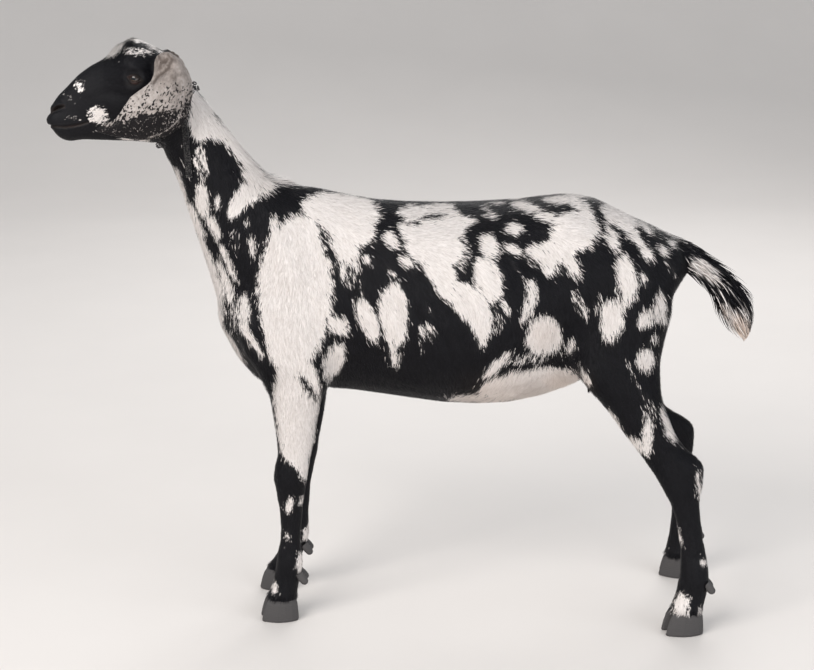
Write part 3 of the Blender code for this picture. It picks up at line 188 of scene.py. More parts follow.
def pointsOf(mesh):
    out = np.empty(len(mesh.vertices) * 3)
    mesh.vertices.foreach_get("co", out)
    return out.reshape(-1, 3)


def normalsOf(mesh):
    mesh.update()
    out = np.empty(len(mesh.vertices) * 3)
    mesh.vertices.foreach_get("normal", out)
    return out.reshape(-1, 3)


def shadeSmooth(mesh):
    mesh.polygons.foreach_set("use_smooth", np.ones(len(mesh.polygons), bool))


def edited(mesh, change):
    # lets change work on the mesh's points and faces
    bm = bmesh.new()
    bm.from_mesh(mesh)
    change(bm)
    bm.to_mesh(mesh)
    bm.free()
    mesh.update()
    return mesh


def turnOutward(bm):
    bmesh.ops.recalc_face_normals(bm, faces=bm.faces)


def setPoints(mesh, points):
    mesh.vertices.foreach_set("co", np.asarray(points, np.float32).ravel())
    mesh.update()


def loftFaces(rows, sides, closed=True):
    faces = []
    for row in range(rows - 1):
        for side in range(sides if closed else sides - 1):
            after = (side + 1) % sides
            faces.append((row * sides + side, row * sides + after,
                          (row + 1) * sides + after, (row + 1) * sides + side))
    return faces


def lofted(name, rows):
    # rows of rings, closed at both ends
    sides = len(rows[0])
    faces = loftFaces(len(rows), sides)
    last = (len(rows) - 1) * sides
    faces.append(tuple(range(sides - 1, -1, -1)))
    faces.append(tuple(range(last, last + sides)))
    points = [tuple(p) for row in rows for p in row]
    return edited(meshFrom(name, points, faces), turnOutward)


def remeshed(mesh, voxel):
    # one closed surface round all that the mesh holds
    helper = placed("remeshing", mesh)
    made = helper.modifiers.new("voxels", "REMESH")
    made.mode = "VOXEL"
    made.voxel_size = voxel
    graph = bpy.context.evaluated_depsgraph_get()
    result = bpy.data.meshes.new_from_object(helper.evaluated_get(graph))
    bpy.data.objects.remove(helper)
    return edited(result, keepLargest)


def keepLargest(bm):
    bm.faces.ensure_lookup_table()
    seen, islands = set(), []
    for face in bm.faces:
        if face.index in seen:
            continue
        island, front = [], [face]
        seen.add(face.index)
        while front:
            here = front.pop()
            island.append(here)
            for edge in here.edges:
                for other in edge.link_faces:
                    if other.index not in seen:
                        seen.add(other.index)
                        front.append(other)
        islands.append(island)
    islands.sort(key=len)
    for island in islands[:-1]:
        bmesh.ops.delete(bm, geom=island, context="FACES")


def smoothed(mesh, steps, weights=None, shrink=0.5, swell=-0.53):
    # Taubin smoothing, which keeps the size
    points = pointsOf(mesh)
    edges = np.empty(len(mesh.edges) * 2, np.int64)
    mesh.edges.foreach_get("vertices", edges)
    edges = edges.reshape(-1, 2)
    a, b = edges[:, 0], edges[:, 1]
    count = np.bincount(edges.ravel(), minlength=len(points))[:, None]
    share = 1.0 if weights is None else weights[:, None]
    for step in range(steps * 2):
        total = np.empty_like(points)
        for axis in range(3):
            total[:, axis] = (np.bincount(a, points[b, axis], len(points))
                              + np.bincount(b, points[a, axis], len(points)))
        points = points + (total / count - points) * share * (shrink if step % 2 == 0 else swell)
    setPoints(mesh, points)


def nodePoints(name):
    return pointsOf(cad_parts[name].data)


def rawFlesh(names, extra=()):
    bm = bmesh.new()
    for name in names:
        bm.from_mesh(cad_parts[name].data)
    bmesh.ops.remove_doubles(bm, verts=bm.verts, dist=skin["weld"])
    bm.normal_update()
    for vert in bm.verts:
        vert.co += vert.normal * skin["closeGaps"]
    for mesh in extra:
        bm.from_mesh(mesh)
    made = bpy.data.meshes.new("flesh")
    bm.to_mesh(made)
    bm.free()
    return made


def dockMesh():
    rows = []
    path = [Vector((x, 0, z)) for x, z, _, _ in dock]
    for k, (x, z, tall, wide) in enumerate(dock):
        ahead = (path[min(k + 1, len(path) - 1)] - path[max(k - 1, 0)]).normalized()
        up = Vector((0, 1, 0)).cross(ahead)
        rows.append([path[k] + up * tall * math.cos(t) + Vector((0, 1, 0)) * wide * math.sin(t)
                     for t in np.linspace(0, 2 * math.pi, 20, endpoint=False)])
    return lofted("dock", rows)


def refine(mesh, chosen):
    # halves the size of the faces whose corners are all chosen
    def halve(bm):
        bm.verts.ensure_lookup_table()
        cut = [e for e in bm.edges if chosen[e.verts[0].index] and chosen[e.verts[1].index]]
        bmesh.ops.subdivide_edges(bm, edges=cut, cuts=1, use_grid_fill=True)

    edited(mesh, halve)


# Forms of the face, in metres, seen from the side: x, z
face = {
    "from": -0.34,  # the head lies in front of this
    "nostril": [(-0.4905, 0.7690), (-0.4970, 0.7680), (-0.5035, 0.7652), (-0.5085, 0.7605)],
    "nostrilWidth": 0.0018,
    "nostrilDepth": 0.0062,
    "nostrilWing": 0.0016,
    "nostrilOut": 0.005,  # from the midline
    "wingUnder": 0.35,  # share of the wing's height below the nostril
    "mouth": [(-0.5240, 0.7400), (-0.5080, 0.7400), (-0.4893, 0.7391), (-0.4778, 0.7402),
              (-0.4678, 0.7424), (-0.4564, 0.7457)],
    "mouthBack": -0.452,
    "mouthWidth": 0.0014,
    "mouthDepth": 0.0030,
    "lips": 0.0008,
    "lipAt": 0.0038,  # how far from its line a lip or a wing is highest
    "lipReach": 0.0020,
    "lipBulb": (-0.5100, 0.7485, 0.0090, 0.0065, 0.0016),  # x, z, reaches, height
    "underNostril": [(-0.5180, 0.7575), (-0.5060, 0.7580), (-0.4960, 0.7610)],
    "underNostrilDepth": 0.0014,
    "underNostrilWidth": 0.0022,
    "lipGroove": {"back": -0.503, "bottom": 0.742, "depth": 0.0011, "width": 0.0013},
    "reliefOut": 0.012,
}
# Edge of the jaw, cheekbone and the hollow in front of the eye: x, z, reaches, height
faceRelief = [
    (-0.420, 0.788, 0.018, 0.007, -0.0016),
    (-0.398, 0.797, 0.016, 0.005, 0.0013),
    (-0.385, 0.757, 0.022, 0.020, 0.0016),
    (-0.432, 0.757, 0.018, 0.012, -0.0009),
    (-0.463, 0.790, 0.020, 0.006, 0.0008),
]
# Lids, by how far inside the opening a place is
lids = {
    "reach": 0.030,  # from the eye's middle
    "rim": 0.0006,
    "rimEdge": (-0.0040, -0.0008),
    "creaseOver": (0.0011, 0.0052, 0.0011),  # depth, how far outside, width
    "creaseUnder": (0.0007, 0.0048, 0.0012),
    "socket": 0.0022,  # under the eyeball's surface
    "opening": (-0.0006, 0.0010),
    "fade": (0.86, 1.28),  # of the eye's radius
    "brow": (0.0020, 0.001, 0.0155, 0.013, 0.0045),  # height, place, reaches
}


def distanceToLine(x, z, line):
    # distance in the side view, and the share of the line where it is nearest
    best = np.full(len(x), 1e9)
    share = np.zeros(len(x))
    parts = len(line) - 1
    for k in range(parts):
        (ax, az), (bx, bz) = line[k], line[k + 1]
        dx, dz = bx - ax, bz - az
        t = np.clip(((x - ax) * dx + (z - az) * dz) / (dx * dx + dz * dz), 0, 1)
        far = np.hypot(x - ax - t * dx, z - az - t * dz)
        closer = far < best
        best = np.where(closer, far, best)
        share = np.where(closer, (k + t) / parts, share)
    return best, share


def eyeAxes(side):
    look = Vector((eye["look"][0], eye["look"][1] * side, eye["look"][2])).normalized()
    along = Vector(eye["along"])
    along = (along - look * along.dot(look)).normalized()
    up = look.cross(along) * side
    centre = Vector((eye["centre"][0], eye["centre"][1] * side, eye["centre"][2]))
    if up.z < 0:
        up = -up
    return centre, look, along, up


def almond(s, t):
    # how far inside the opening between the lids a place is, negative outside
    s = s - eye["shift"]
    reach = 1 - (s / eye["halfLength"]) ** 2
    upper = eye["upper"] * reach
    lower = -eye["lower"] * reach
    inside = np.minimum(upper - t, t - lower)
    return np.where(reach < 0, -np.hypot(np.abs(s) - eye["halfLength"], t), inside)


def carveLids(points, normals, head):
    # lids that hug the eyeballs, and the openings between them
    for side in (-1, 1):
        centre, look, along, up = eyeAxes(side)
        offset = points - np.array(centre)
        near = head & (np.linalg.norm(offset, axis=1) < lids["reach"]) & (offset @ np.array(look) > 0)
        s, t = offset @ np.array(along), offset @ np.array(up)
        inside = almond(s, t)
        lid = eye["radius"] + eye["lid"] + ramped(lids["rim"], *lids["rimEdge"], inside)
        crease = 0
        for (depth, outside, wide), half in ((lids["creaseOver"], t > 0), (lids["creaseUnder"], t < 0)):
            crease = crease - depth * np.exp(-((inside + outside) / wide) ** 2) * half
        socket = eye["radius"] - lids["socket"]
        wanted = lid + crease + (socket - lid) * smoothStep(*lids["opening"], inside)
        low, high = (eye["radius"] * share for share in lids["fade"])
        pull = np.where(near, 1 - smoothStep(low, high, np.hypot(s, t)), 0)
        goal = np.array(centre) + unit(offset) * wanted[:, None]
        points = points + (goal - points) * pull[:, None]
        height, *place = lids["brow"]
        points = points + normals * (near * height * hill(s, t, *place))[:, None]
    return points


def carveFace(mesh):
    points, normals = pointsOf(mesh), normalsOf(mesh)
    head = points[:, 0] < face["from"]
    points = carveLids(points, normals, head)
    x, y, z = points.T
    # nostrils and the wings round them
    far, share = distanceToLine(x, z, face["nostril"])
    taper = np.sin(np.pi * np.clip(share * 0.86 + 0.08, 0, 1)) ** 0.6
    hole = np.exp(-(far / (face["nostrilWidth"] * taper + 1e-5)) ** 2) * taper
    over = z > np.interp(x, *zip(*face["nostril"][::-1]))
    wing = np.exp(-((far - face["lipAt"]) / face["lipReach"]) ** 2) * taper
    wing = wing * np.where(over, 1.0, face["wingUnder"])
    push = -face["nostrilDepth"] * hole + face["nostrilWing"] * wing
    push = np.where(head & (np.abs(y) > face["nostrilOut"]), push, 0)
    # the upper lip stands out in front, below a groove under the nose
    *bulb, high = face["lipBulb"]
    push = push + np.where(head, high * hill(x, z, *bulb), 0)
    far, share = distanceToLine(x, z, face["underNostril"])
    groove = np.exp(-(far / face["underNostrilWidth"]) ** 2) * (1 - 0.6 * share)
    push = push - np.where(head, face["underNostrilDepth"] * groove, 0)
    # the line of the mouth, with a lip over and under it
    far, share = distanceToLine(x, z, face["mouth"])
    groove = np.exp(-(far / face["mouthWidth"]) ** 2) * (1 - 0.4 * share)
    lip = np.exp(-((far - face["lipAt"]) / face["lipReach"]) ** 2) * (1 - 0.75 * share)
    mouth = -face["mouthDepth"] * groove + face["lips"] * lip
    push = push + np.where(head & (x < face["mouthBack"]), mouth, 0)
    # the groove between the nostrils
    middle = face["lipGroove"]
    there = head & (x < middle["back"]) & (z > middle["bottom"])
    push = push - np.where(there, middle["depth"] * np.exp(-(y / middle["width"]) ** 2), 0)
    for *place, high in faceRelief:
        push = push + np.where(head & (np.abs(y) > face["reliefOut"]), high * hill(x, z, *place), 0)
    setPoints(mesh, points + normals * push[:, None])


# Relief over the body, seen from the side: x, z, reach along x, reach along z, height, turn in degrees
bodyRelief = [
    (-0.176, 0.560, 0.012, 0.070, 0.0026, 22),   # spine of the shoulder blade
    (-0.130, 0.545, 0.018, 0.055, -0.0018, 20),  # hollow behind it
    (-0.222, 0.470, 0.022, 0.016, 0.0022, 0),    # point of the shoulder
    (0.262, 0.592, 0.022, 0.014, 0.0040, -20),   # hip bone
    (0.385, 0.545, 0.016, 0.013, 0.0032, 0),     # pin bone
    (0.205, 0.545, 0.035, 0.030, -0.0040, 0),    # hollow of the flank
    (0.318, 0.560, 0.045, 0.016, -0.0018, -24),
    (0.330, 0.420, 0.014, 0.060, -0.0016, 8),    # between the thigh's muscles
    (0.268, 0.392, 0.016, 0.020, 0.0020, 0),     # stifle
    (-0.165, 0.395, 0.012, 0.035, -0.0014, 0),
    (-0.125, 0.400, 0.010, 0.020, 0.0016, 0),    # point of the elbow
    (-0.275, 0.600, 0.012, 0.070, -0.0014, 24),  # along the windpipe
]
ribs = {
    "first": -0.080,
    "pitch": 0.026,
    "count": 10,
    "height": 0.0007,
    "lean": 0.35,
    "top": 0.570,
    "bottom": 0.400,
    "fadeBelow": 0.04,
    "fadeAbove": (0.05, 0.02),
    "onSides": (0.3, 0.75),  # how far a surface faces sideways
}


def carveBody(mesh):
    points = pointsOf(mesh)
    normals = normalsOf(mesh)
    x, y, z = points.T
    push = np.zeros(len(points))
    side = smoothStep(*ribs["onSides"], np.abs(normals[:, 1]))
    for cx, cz, rx, rz, high, turn in bodyRelief:
        c, s = math.cos(math.radians(turn)), math.sin(math.radians(turn))
        dx, dz = x - cx, z - cz
        push += high * side * np.exp(-((dx * c + dz * s) / rx) ** 2 - ((dz * c - dx * s) / rz) ** 2)
    phase = (x - ribs["first"] + (z - ribs["top"]) * ribs["lean"]) / ribs["pitch"]
    inside = smoothStep(0, 1, phase) * (1 - smoothStep(ribs["count"] - 2, ribs["count"], phase))
    fade = ribs["fadeBelow"]
    inside = inside * smoothStep(ribs["bottom"] - fade, ribs["bottom"] + fade, z)
    below, above = ribs["fadeAbove"]
    inside = inside * (1 - smoothStep(ribs["top"] - below, ribs["top"] + above, z))
    push += ribs["height"] * np.cos(2 * math.pi * phase) * inside * side
    setPoints(mesh, points + normals * push[:, None])


def coatDepthAt(points):
    # how far the skin lies under the coat's surface
    low, high, least = skin["legDepth"]
    depth = skin["coatDepth"] * (least + ramped(1 - least, low, high, points[:, 2]))
    low, high, lost = skin["faceDepth"]
    return depth * (1 - lost * (1 - smoothStep(low, high, points[:, 0])))


def buildSkin():
    body = remeshed(rawFlesh(skin["flesh"], [dockMesh()]), skin["voxel"])
    print("body remeshed:", len(body.polygons), "faces")
    smoothed(body, skin["smoothSteps"])
    points = pointsOf(body)
    refine(body, points[:, 0] < skin["headFrom"])
    onHead = pointsOf(body)[:, 0] < skin["headFrom"] + skin["headBlend"]
    smoothed(body, skin["headSteps"], onHead.astype(float))
    carveBody(body)
    setPoints(body, pointsOf(body) - normalsOf(body) * coatDepthAt(pointsOf(body))[:, None])
    points = pointsOf(body)
    chosen = np.zeros(len(points), bool)
    for side in (-1, 1):
        chosen |= np.linalg.norm(points - np.array(eyeAxes(side)[0]), axis=1) < skin["nearEye"]
    lineFar = np.minimum(distanceToLine(points[:, 0], points[:, 2], face["nostril"])[0],
                         distanceToLine(points[:, 0], points[:, 2], face["mouth"])[0])
    chosen |= (lineFar < skin["nearLine"]) & (points[:, 0] < skin["muzzleFrom"])
    refine(body, chosen)
    smoothed(body, skin["faceSteps"], (pointsOf(body)[:, 0] < skin["headFrom"]).astype(float))
    carveFace(body)
    ears = []
    for name in skin["ears"]:
        ear = remeshed(rawFlesh([name]), skin["earVoxel"])
        smoothed(ear, skin["earSteps"])
        foldEar(ear)
        ears.append(ear)
    bm = bmesh.new()
    for mesh in [body] + ears:
        bm.from_mesh(mesh)
    made = bpy.data.meshes.new("skin")
    bm.to_mesh(made)
    bm.free()
    shadeSmooth(made)
    result = placed("skin", made)
    print("skin:", len(made.vertices), "points,", len(made.polygons), "faces")
    return result, len(body.vertices)


# Folds of the ear in photo pixels: the line, its width, and its height in metres
earFolds = [
    ([(153, 84), (158, 77), (164, 72.5), (169, 68), (171.5, 60)], 2.4, -0.0030),
    ([(158, 86), (165, 79), (172, 74), (177, 64)], 3.4, 0.0020),
    ([(160, 65), (168, 60)], 1.7, -0.0024),
    ([(157, 54), (160, 60), (158, 70)], 2.4, 0.0020),
    ([(163, 56), (169, 54), (174, 58)], 2.0, 0.0018),
    ([(179, 70), (186, 84), (186, 98)], 5.0, 0.0014),
    ([(150, 102), (172, 120)], 8.0, 0.0010),
]


def foldEar(mesh):
    points = pointsOf(mesh)
    normals = normalsOf(mesh)
    u, v = photoPixels(points * mirrorAcross if points[:, 1].mean() > 0 else points)
    push = np.zeros(len(points))
    for line, wide, high in earFolds:
        far, share = distanceToLine(u, v, line)
        push += high * np.exp(-(far / wide) ** 2) * np.sin(np.pi * np.clip(share, 0.1, 0.9))
    outward = np.sign(normals[:, 1]) == np.sign(points[:, 1].mean())
    # both faces of the ear move together
    setPoints(mesh, points + normals * np.where(outward, push, -push)[:, None])


# Markings as ellipses in photo pixels: across, down, half length, half width, and the turn,
# clockwise from the right
nearWhite = {
    "face": [(111, 47.5, 14, 8.5, -37), (78, 86.5, 3.8, 1.1, 72), (97, 112, 5.6, 3.4, 5),
             (97, 118, 5, 3.4, 0), (137, 35.5, 12, 6, 4),
             (152, 42, 12, 5.5, 34), (160, 49, 8, 4, 30),
             (126, 139.5, 5, 2.2, 8), (143, 140, 6, 2.4, 8)],
    "neck": [(200, 101, 15, 9, 62), (201, 118, 22, 13, 88), (213, 126, 18, 9, 50), (219, 131, 11, 8, 0),
             (240, 150, 27, 7.5, 51),
             (256, 176, 17, 9, 32), (272, 178, 30, 5, 6), (240, 199, 20, 8.5, 118), (252, 190, 13, 10, 120),
             (266, 189, 10, 5, 150), (202, 200, 17, 6.5, 84), (214, 226, 13, 5.5, 66),
             (217, 201, 6, 3, 90), (252, 246, 9, 2.6, 78), (274, 228, 12, 4, 82), (245, 308, 14, 5.8, 86)],
    "chest": [(181, 188, 22, 3.6, 74), (194, 220, 22, 4.6, 66), (205, 255, 22, 5, 68),
              (214, 282, 22, 6, 70),
              (224, 280, 22, 5.5, 70), (219, 312, 20, 4, 88), (241, 318, 15, 2.6, 62),
              (250, 338, 22, 3.4, 55),
              (232, 344, 20, 2.6, 58), (228, 262, 18, 3, 68)],
    "shoulder": [(295, 292, 74, 36, 90), (304, 238, 24, 22, 90), (291, 338, 34, 25, 90),
                 (340, 211, 38, 21, 8),
                 (350, 227, 25, 18, 22), (345, 246, 18, 13, 62), (341, 264, 16, 3.6, 86),
                 (353, 260, 12, 3, 72),
                 (338, 325, 11, 8, 40), (334, 360, 18, 8, 112)],
    "forearm": [(296.5, 393, 44, 23, 88), (296, 428, 40, 19, 86), (303, 460, 20, 7, 78),
                (289, 505, 7.5, 3.8, 100),
                (303, 501, 4.5, 2.6, 130), (301, 567, 13, 4, 82), (274, 587.5, 4.5, 2.6, 80),
                (287, 536, 3, 1.3, 80)],
    "ribs": [(367, 318.5, 23, 9, 71), (394, 314, 31, 14.5, 86), (393, 352, 13, 3.6, 84),
             (397, 360, 6, 2, 125),
             (390, 240, 9, 5.5, 50), (366, 260, 5, 3.4, 60), (406, 261, 7.5, 4.5, 35),
             (391, 273, 5, 1.8, 48),
             (410, 211, 13, 6, -4), (432, 226, 34, 19, -4), (434, 246, 30, 22, 20), (438, 208, 16, 5, -6),
             (440, 270, 28, 14, 66), (444, 287, 16, 9, 56), (463, 221, 10, 5.5, 0), (488, 247, 13, 9, 82),
             (487, 280, 24, 13, 76), (470, 298, 22, 11, 40), (479, 314, 25, 12, 76), (481, 332, 15, 5, 84),
             (464, 307, 18, 8, 58), (513, 229, 8, 6.5, 20), (488, 216.5, 5.5, 2.8, 8),
             (484, 209, 3.4, 1.3, 0),
             (497, 202.5, 6, 2, 4), (511, 249.5, 9.5, 5, 18)],
    "loin": [(525, 207, 14, 4.6, 16), (546, 217, 13, 4.4, 14), (567, 198, 25, 4.6, -3),
             (580, 207, 14, 5, 30),
             (576, 226, 24, 17, -6), (572, 236, 22, 15, 0), (545, 254, 20, 9, 14), (548, 265, 10, 8, 82),
             (558, 249, 18, 12, 0), (572, 265, 13, 5.6, 58), (531, 292, 13, 5.2, 80),
             (526, 311, 12, 3.8, 112),
             (545, 334, 18, 16.5, 90), (538, 340, 14, 12, 90), (570, 346, 7.5, 3.4, 112)],
    "belly": [(530, 385, 50, 15, -6), (548, 379, 30, 12, 0), (490, 398, 40, 5.5, -2),
              (497, 365, 18, 4, 136)],
    "rump": [(619, 217, 22, 10, 38), (632, 234, 18, 5, 50), (610, 237, 16, 5.4, 64), (645, 226, 10, 3, 50),
             (618, 206, 22, 5, 26), (654, 224, 28, 2.4, 32), (626, 277, 22, 9.2, 80),
             (628, 299, 10, 4.6, 112), (612, 319, 20, 11, 96),
             (646, 253, 7.5, 4.8, 40), (663, 250, 6, 3.2, 58), (671, 243, 4, 2.4, 40),
             (643, 278, 5, 2.4, 80),
             (659, 306, 14, 6.2, 98), (646, 317, 11, 7, 118), (664, 318, 4.5, 2.4, 80),
             (646, 359, 9.8, 8.5, 90),
             (654, 339, 4.5, 2, 130), (586, 377, 9, 3, 58)],
    "hind leg": [(614, 419, 11, 2.8, 58), (636, 444, 13, 5.6, 30), (648, 437, 18, 5.4, 92),
                 (668, 424, 18, 3.2, 68),
                 (699, 484, 14, 2.2, 88), (678, 535, 8, 1.6, 72), (681, 607, 13, 5.6, 94),
                 (703, 563, 3.4, 2.8, 0),
                 (701, 613, 6, 1.8, 70)],
}
nearDark = {
    "brow": [(131, 43.6, 9, 1.5, -3), (145, 47, 8.5, 1.7, 26), (124.5, 46.5, 3.4, 1.6, -50)],
    "ribs": [(468.5, 260, 25, 4.6, 86)],
    "shoulder wedge": [(325, 243, 21, 3.4, 70), (334, 268, 20, 5, 84)],
    "mid back": [(430, 218, 13, 2, -10), (412, 223, 8, 1.6, 0)],
    "loin": [(560, 209, 12, 4, -4), (596, 214, 22, 3.4, 62), (588, 203, 8, 1.8, 40)],
    "chest": [(226, 318, 16, 2.2, 78), (216, 268, 12, 1.4, 70)],
    "elbow": [(309, 387.5, 15, 2.6, 54)],
}
# Thin markings, where white hairs are mixed into black: the last number is their share
nearMixed = {
    "muzzle": [(69.4, 97.9, 9, 2.8, 33, 0.34), (74.3, 118, 11, 2.6, 12, 0.32), (64, 93, 3, 2, 40, 0.3)],
    "eye": [(137, 86.8, 2.2, 1.2, 0, 0.55), (130.8, 66, 1.2, 0.9, 0, 0.5)],
    "brow": [(137.5, 51, 15, 4.8, 3, 0.84), (132.7, 61.3, 5, 0.5, -65, 0.3)],
    "cheek": [(97, 115.5, 12, 10.5, 20, 0.58), (78, 87, 7.5, 4.8, 70, 0.66)],
    "jaw": [(118, 134, 22, 2.5, 8, 0.25), (100, 131, 9, 1.6, -15, 0.35), (126, 139, 6, 3, 0, 0.5),
            (143, 139, 6, 3, 0, 0.5)],
    "neck": [(184, 160, 22, 4, 78, 0.10), (200, 163, 19, 8, 82, 0.68), (202, 200, 22, 9, 84, 0.4),
             (248, 221, 6, 3, 85, 0.35), (264, 246, 16, 5, 80, 0.25), (214, 228, 16, 8, 66, 0.4),
             (235, 240, 14, 6, 85, 0.10), (228, 300, 40, 12, 66, 0.3)],
    "shoulder": [(295, 290, 78, 41, 90, 0.4), (340, 212, 42, 25, 8, 0.4), (346, 262, 26, 12, 80, 0.35),
                 (360, 282, 16, 4, 80, 0.2), (338, 325, 15, 12, 40, 0.45), (333, 360, 22, 12, 112, 0.45)],
    "ribs": [(427, 331, 11, 9, 0, 0.45), (366, 320, 28, 11, 62, 0.4), (430, 310, 8, 4, 50, 0.25),
             (504, 302, 15, 5.5, 68, 0.5), (434, 246, 38, 30, 20, 0.3), (488, 306, 28, 18, 75, 0.25),
             (390, 240, 12, 9, 50, 0.35), (406, 262, 11, 8, 35, 0.3),
             (420, 345, 10, 3, 70, 0.12)],
    "loin": [(578, 301, 15, 6, 66, 0.5), (585, 311, 9, 5, 80, 0.55), (595, 309, 7, 3.4, 88, 0.5),
             (572, 266, 16, 10, 60, 0.35), (525, 358, 24, 6, 0, 0.42), (530, 300, 28, 8, 96, 0.3),
             (545, 258, 26, 14, 14, 0.3), (515, 268, 16, 3, 50, 0.2), (560, 350, 8, 10, 90, 0.2)],
    "thigh": [(612, 320, 24, 15, 96, 0.4), (626, 280, 26, 13, 82, 0.35), (600, 300, 8, 4, 90, 0.4),
              (630, 368, 12, 4, 60, 0.2), (640, 392, 16, 2.2, 66, 0.3), (648, 420, 26, 9, 90, 0.35),
              (681, 605, 16, 10.5, 94, 0.62),
              (668, 262, 18, 3, 62, 0.3), (579, 362, 9, 3, 100, 0.2)],
}
farWhite = {
    "face": [(140, 45, 20, 8, 6), (112, 53, 12, 5, -36), (88, 84, 9, 4, -40), (108, 104, 11, 7, 70),
             (72, 110, 5, 3, 20), (150, 120, 9, 6, 80)],
    "neck": [(214, 118, 24, 9, 56), (242, 150, 28, 8, 51), (258, 177, 18, 9, 32), (272, 178, 30, 5, 6),
             (192, 138, 16, 9, 80), (206, 176, 20, 8, 76), (226, 214, 20, 10, 100), (196, 222, 20, 5, 68),
             (250, 262, 24, 9, 82), (216, 284, 22, 7, 70), (219, 312, 20, 4, 88), (236, 330, 20, 5, 60)],
    "shoulder": [(304, 214, 26, 14, 10), (286, 300, 46, 20, 96), (300, 350, 26, 18, 90),
                 (344, 246, 24, 16, 60),
                 (330, 320, 18, 9, 80), (270, 352, 16, 7, 60)],
    "foreleg": [(296, 408, 34, 15, 88), (303, 440, 22, 8, 80), (304, 561, 8, 3.4, 88),
                (270, 601, 4.5, 3, 60),
                (290, 488, 8, 4, 80)],
    "ribs": [(388, 212, 22, 10, 4), (404, 252, 26, 16, 50), (380, 316, 22, 11, 80), (430, 330, 26, 14, 70),
             (446, 216, 14, 6, 0), (462, 270, 30, 15, 62), (486, 318, 16, 8, 80), (494, 222, 14, 8, 20),
             (356, 280, 10, 6, 60), (420, 292, 9, 5, 60), (444, 366, 22, 8, 20)],
    "loin": [(532, 206, 22, 6, 4), (567, 198, 25, 4.6, -3), (540, 244, 26, 16, 30), (584, 240, 16, 12, 40),
             (520, 300, 24, 9, 92), (560, 320, 16, 11, 90), (556, 286, 8, 5, 60)],
    "belly": [(530, 386, 52, 15, -6), (548, 379, 30, 12, 0), (490, 398, 40, 5.5, -2),
              (460, 390, 20, 8, 10)],
    "rump": [(622, 218, 24, 9, 38), (637, 215, 50, 2.8, 30), (640, 262, 20, 10, 60), (612, 282, 18, 8, 90),
             (630, 330, 22, 12, 86), (660, 300, 9, 5, 80), (600, 350, 14, 7, 70), (654, 372, 9, 6, 90)],
    "hind leg": [(632, 430, 20, 8, 60), (664, 452, 16, 5, 70), (690, 500, 10, 4, 90),
                 (672, 600, 13, 8, 90)],
}
farDark = {"shoulder": [(320, 262, 16, 4, 74)], "back": [(470, 240, 10, 3, 30)]}
farMixed = {
    "body": [(404, 252, 32, 22, 50, 0.35), (462, 270, 36, 20, 62, 0.3), (286, 300, 50, 24, 96, 0.35),
             (344, 246, 30, 20, 60, 0.3), (540, 244, 32, 20, 30, 0.3), (630, 330, 26, 16, 86, 0.35),
             (206, 176, 24, 11, 76, 0.4), (250, 262, 28, 12, 82, 0.35), (430, 330, 30, 18, 70, 0.3),
             (510, 360, 16, 6, 40, 0.3), (600, 300, 12, 6, 80, 0.4), (78, 118, 13, 5, 5, 0.2)],
}
# Edges of the markings: pixels of the photograph, and metres
edges = {
    "wander": 1.5,
    "wanderFar": 5.5,
    "wanderSize": 0.022,
    "fray": 1.0,
    "fraySize": 0.0045,
    "soft": 0.9,
    "over": 0.03,  # the near side's markings reach so far past the midline
    "blend": 0.010,
    "mixedEdge": (-0.5, 3.0),
    "fleckSize": 0.0042,
    "fleckStep": (-0.15, 0.45),
    "fleckLeast": 0.25,
    "fleckMore": 1.6,
    "headEnd": (-0.36, -0.32),
    "streakWays": [(0.86, 0.50), (0.62, -0.78)],  # on the head, and on the body
    "streakLong": 2.1,
    "streakThin": 0.62,
    "headFiner": 1.8,
}


def ellipseField(u, v, across, down, long, wide, turn):
    # pixels inside the edge, negative outside
    c, s = math.cos(math.radians(turn)), math.sin(math.radians(turn))
    du, dv = u - across, v - down
    a, b = (du * c + dv * s) / long, (dv * c - du * s) / wide
    q = np.hypot(a, b)
    slope = np.hypot(a / long, b / wide) / np.maximum(q, 1e-6)
    return (1 - q) / np.maximum(slope, 1e-6) * np.minimum(1.0, q + 0.35)


def alongHair(points):
    # the same places, drawn together along the lie of the hair, so that noise read there is streaky
    x, y, z = points.T
    onHead = 1 - smoothStep(*edges["headEnd"], x)
    streaked = []
    for ahead, up in edges["streakWays"]:
        far, near = x * ahead + z * up, z * ahead - x * up
        streaked.append(np.stack([far / edges["streakLong"], y, near / edges["streakThin"]], axis=1))
    return np.where(onHead[:, None] > 0.5, streaked[0] * edges["headFiner"], streaked[1])


def sideShare(points, white, dark, mixed, wander):
    u, v = photoPixels(points)
    size, fine = edges["wanderSize"], edges["fraySize"]
    u = u + wander * latticeNoise(points, size, 3) + edges["fray"] * latticeNoise(points, fine, 5)
    v = v + wander * latticeNoise(points, size, 4) + edges["fray"] * latticeNoise(points, fine, 6)
    field = np.full(len(points), -40.0)
    for marks in white.values():
        for mark in marks:
            field = np.maximum(field, ellipseField(u, v, *mark))
    for marks in dark.values():
        for mark in marks:
            field = np.minimum(field, -ellipseField(u, v, *mark))
    share = 1 / (1 + np.exp(-np.clip(field / edges["soft"], -30, 30)))
    thin = np.zeros(len(points))
    for marks in mixed.values():
        for *mark, part in marks:
            thin = np.maximum(thin, ramped(part, *edges["mixedEdge"], ellipseField(u, v, *mark)))
    streaky = alongHair(points)
    flecks = latticeNoise(streaky, edges["fleckSize"], 8)
    flecks = flecks + 0.5 * latticeNoise(streaky, edges["fleckSize"] / 2, 9)
    thin = thin * (edges["fleckLeast"] + ramped(edges["fleckMore"], *edges["fleckStep"], flecks))
    return np.clip(np.maximum(share, thin), 0, 1)


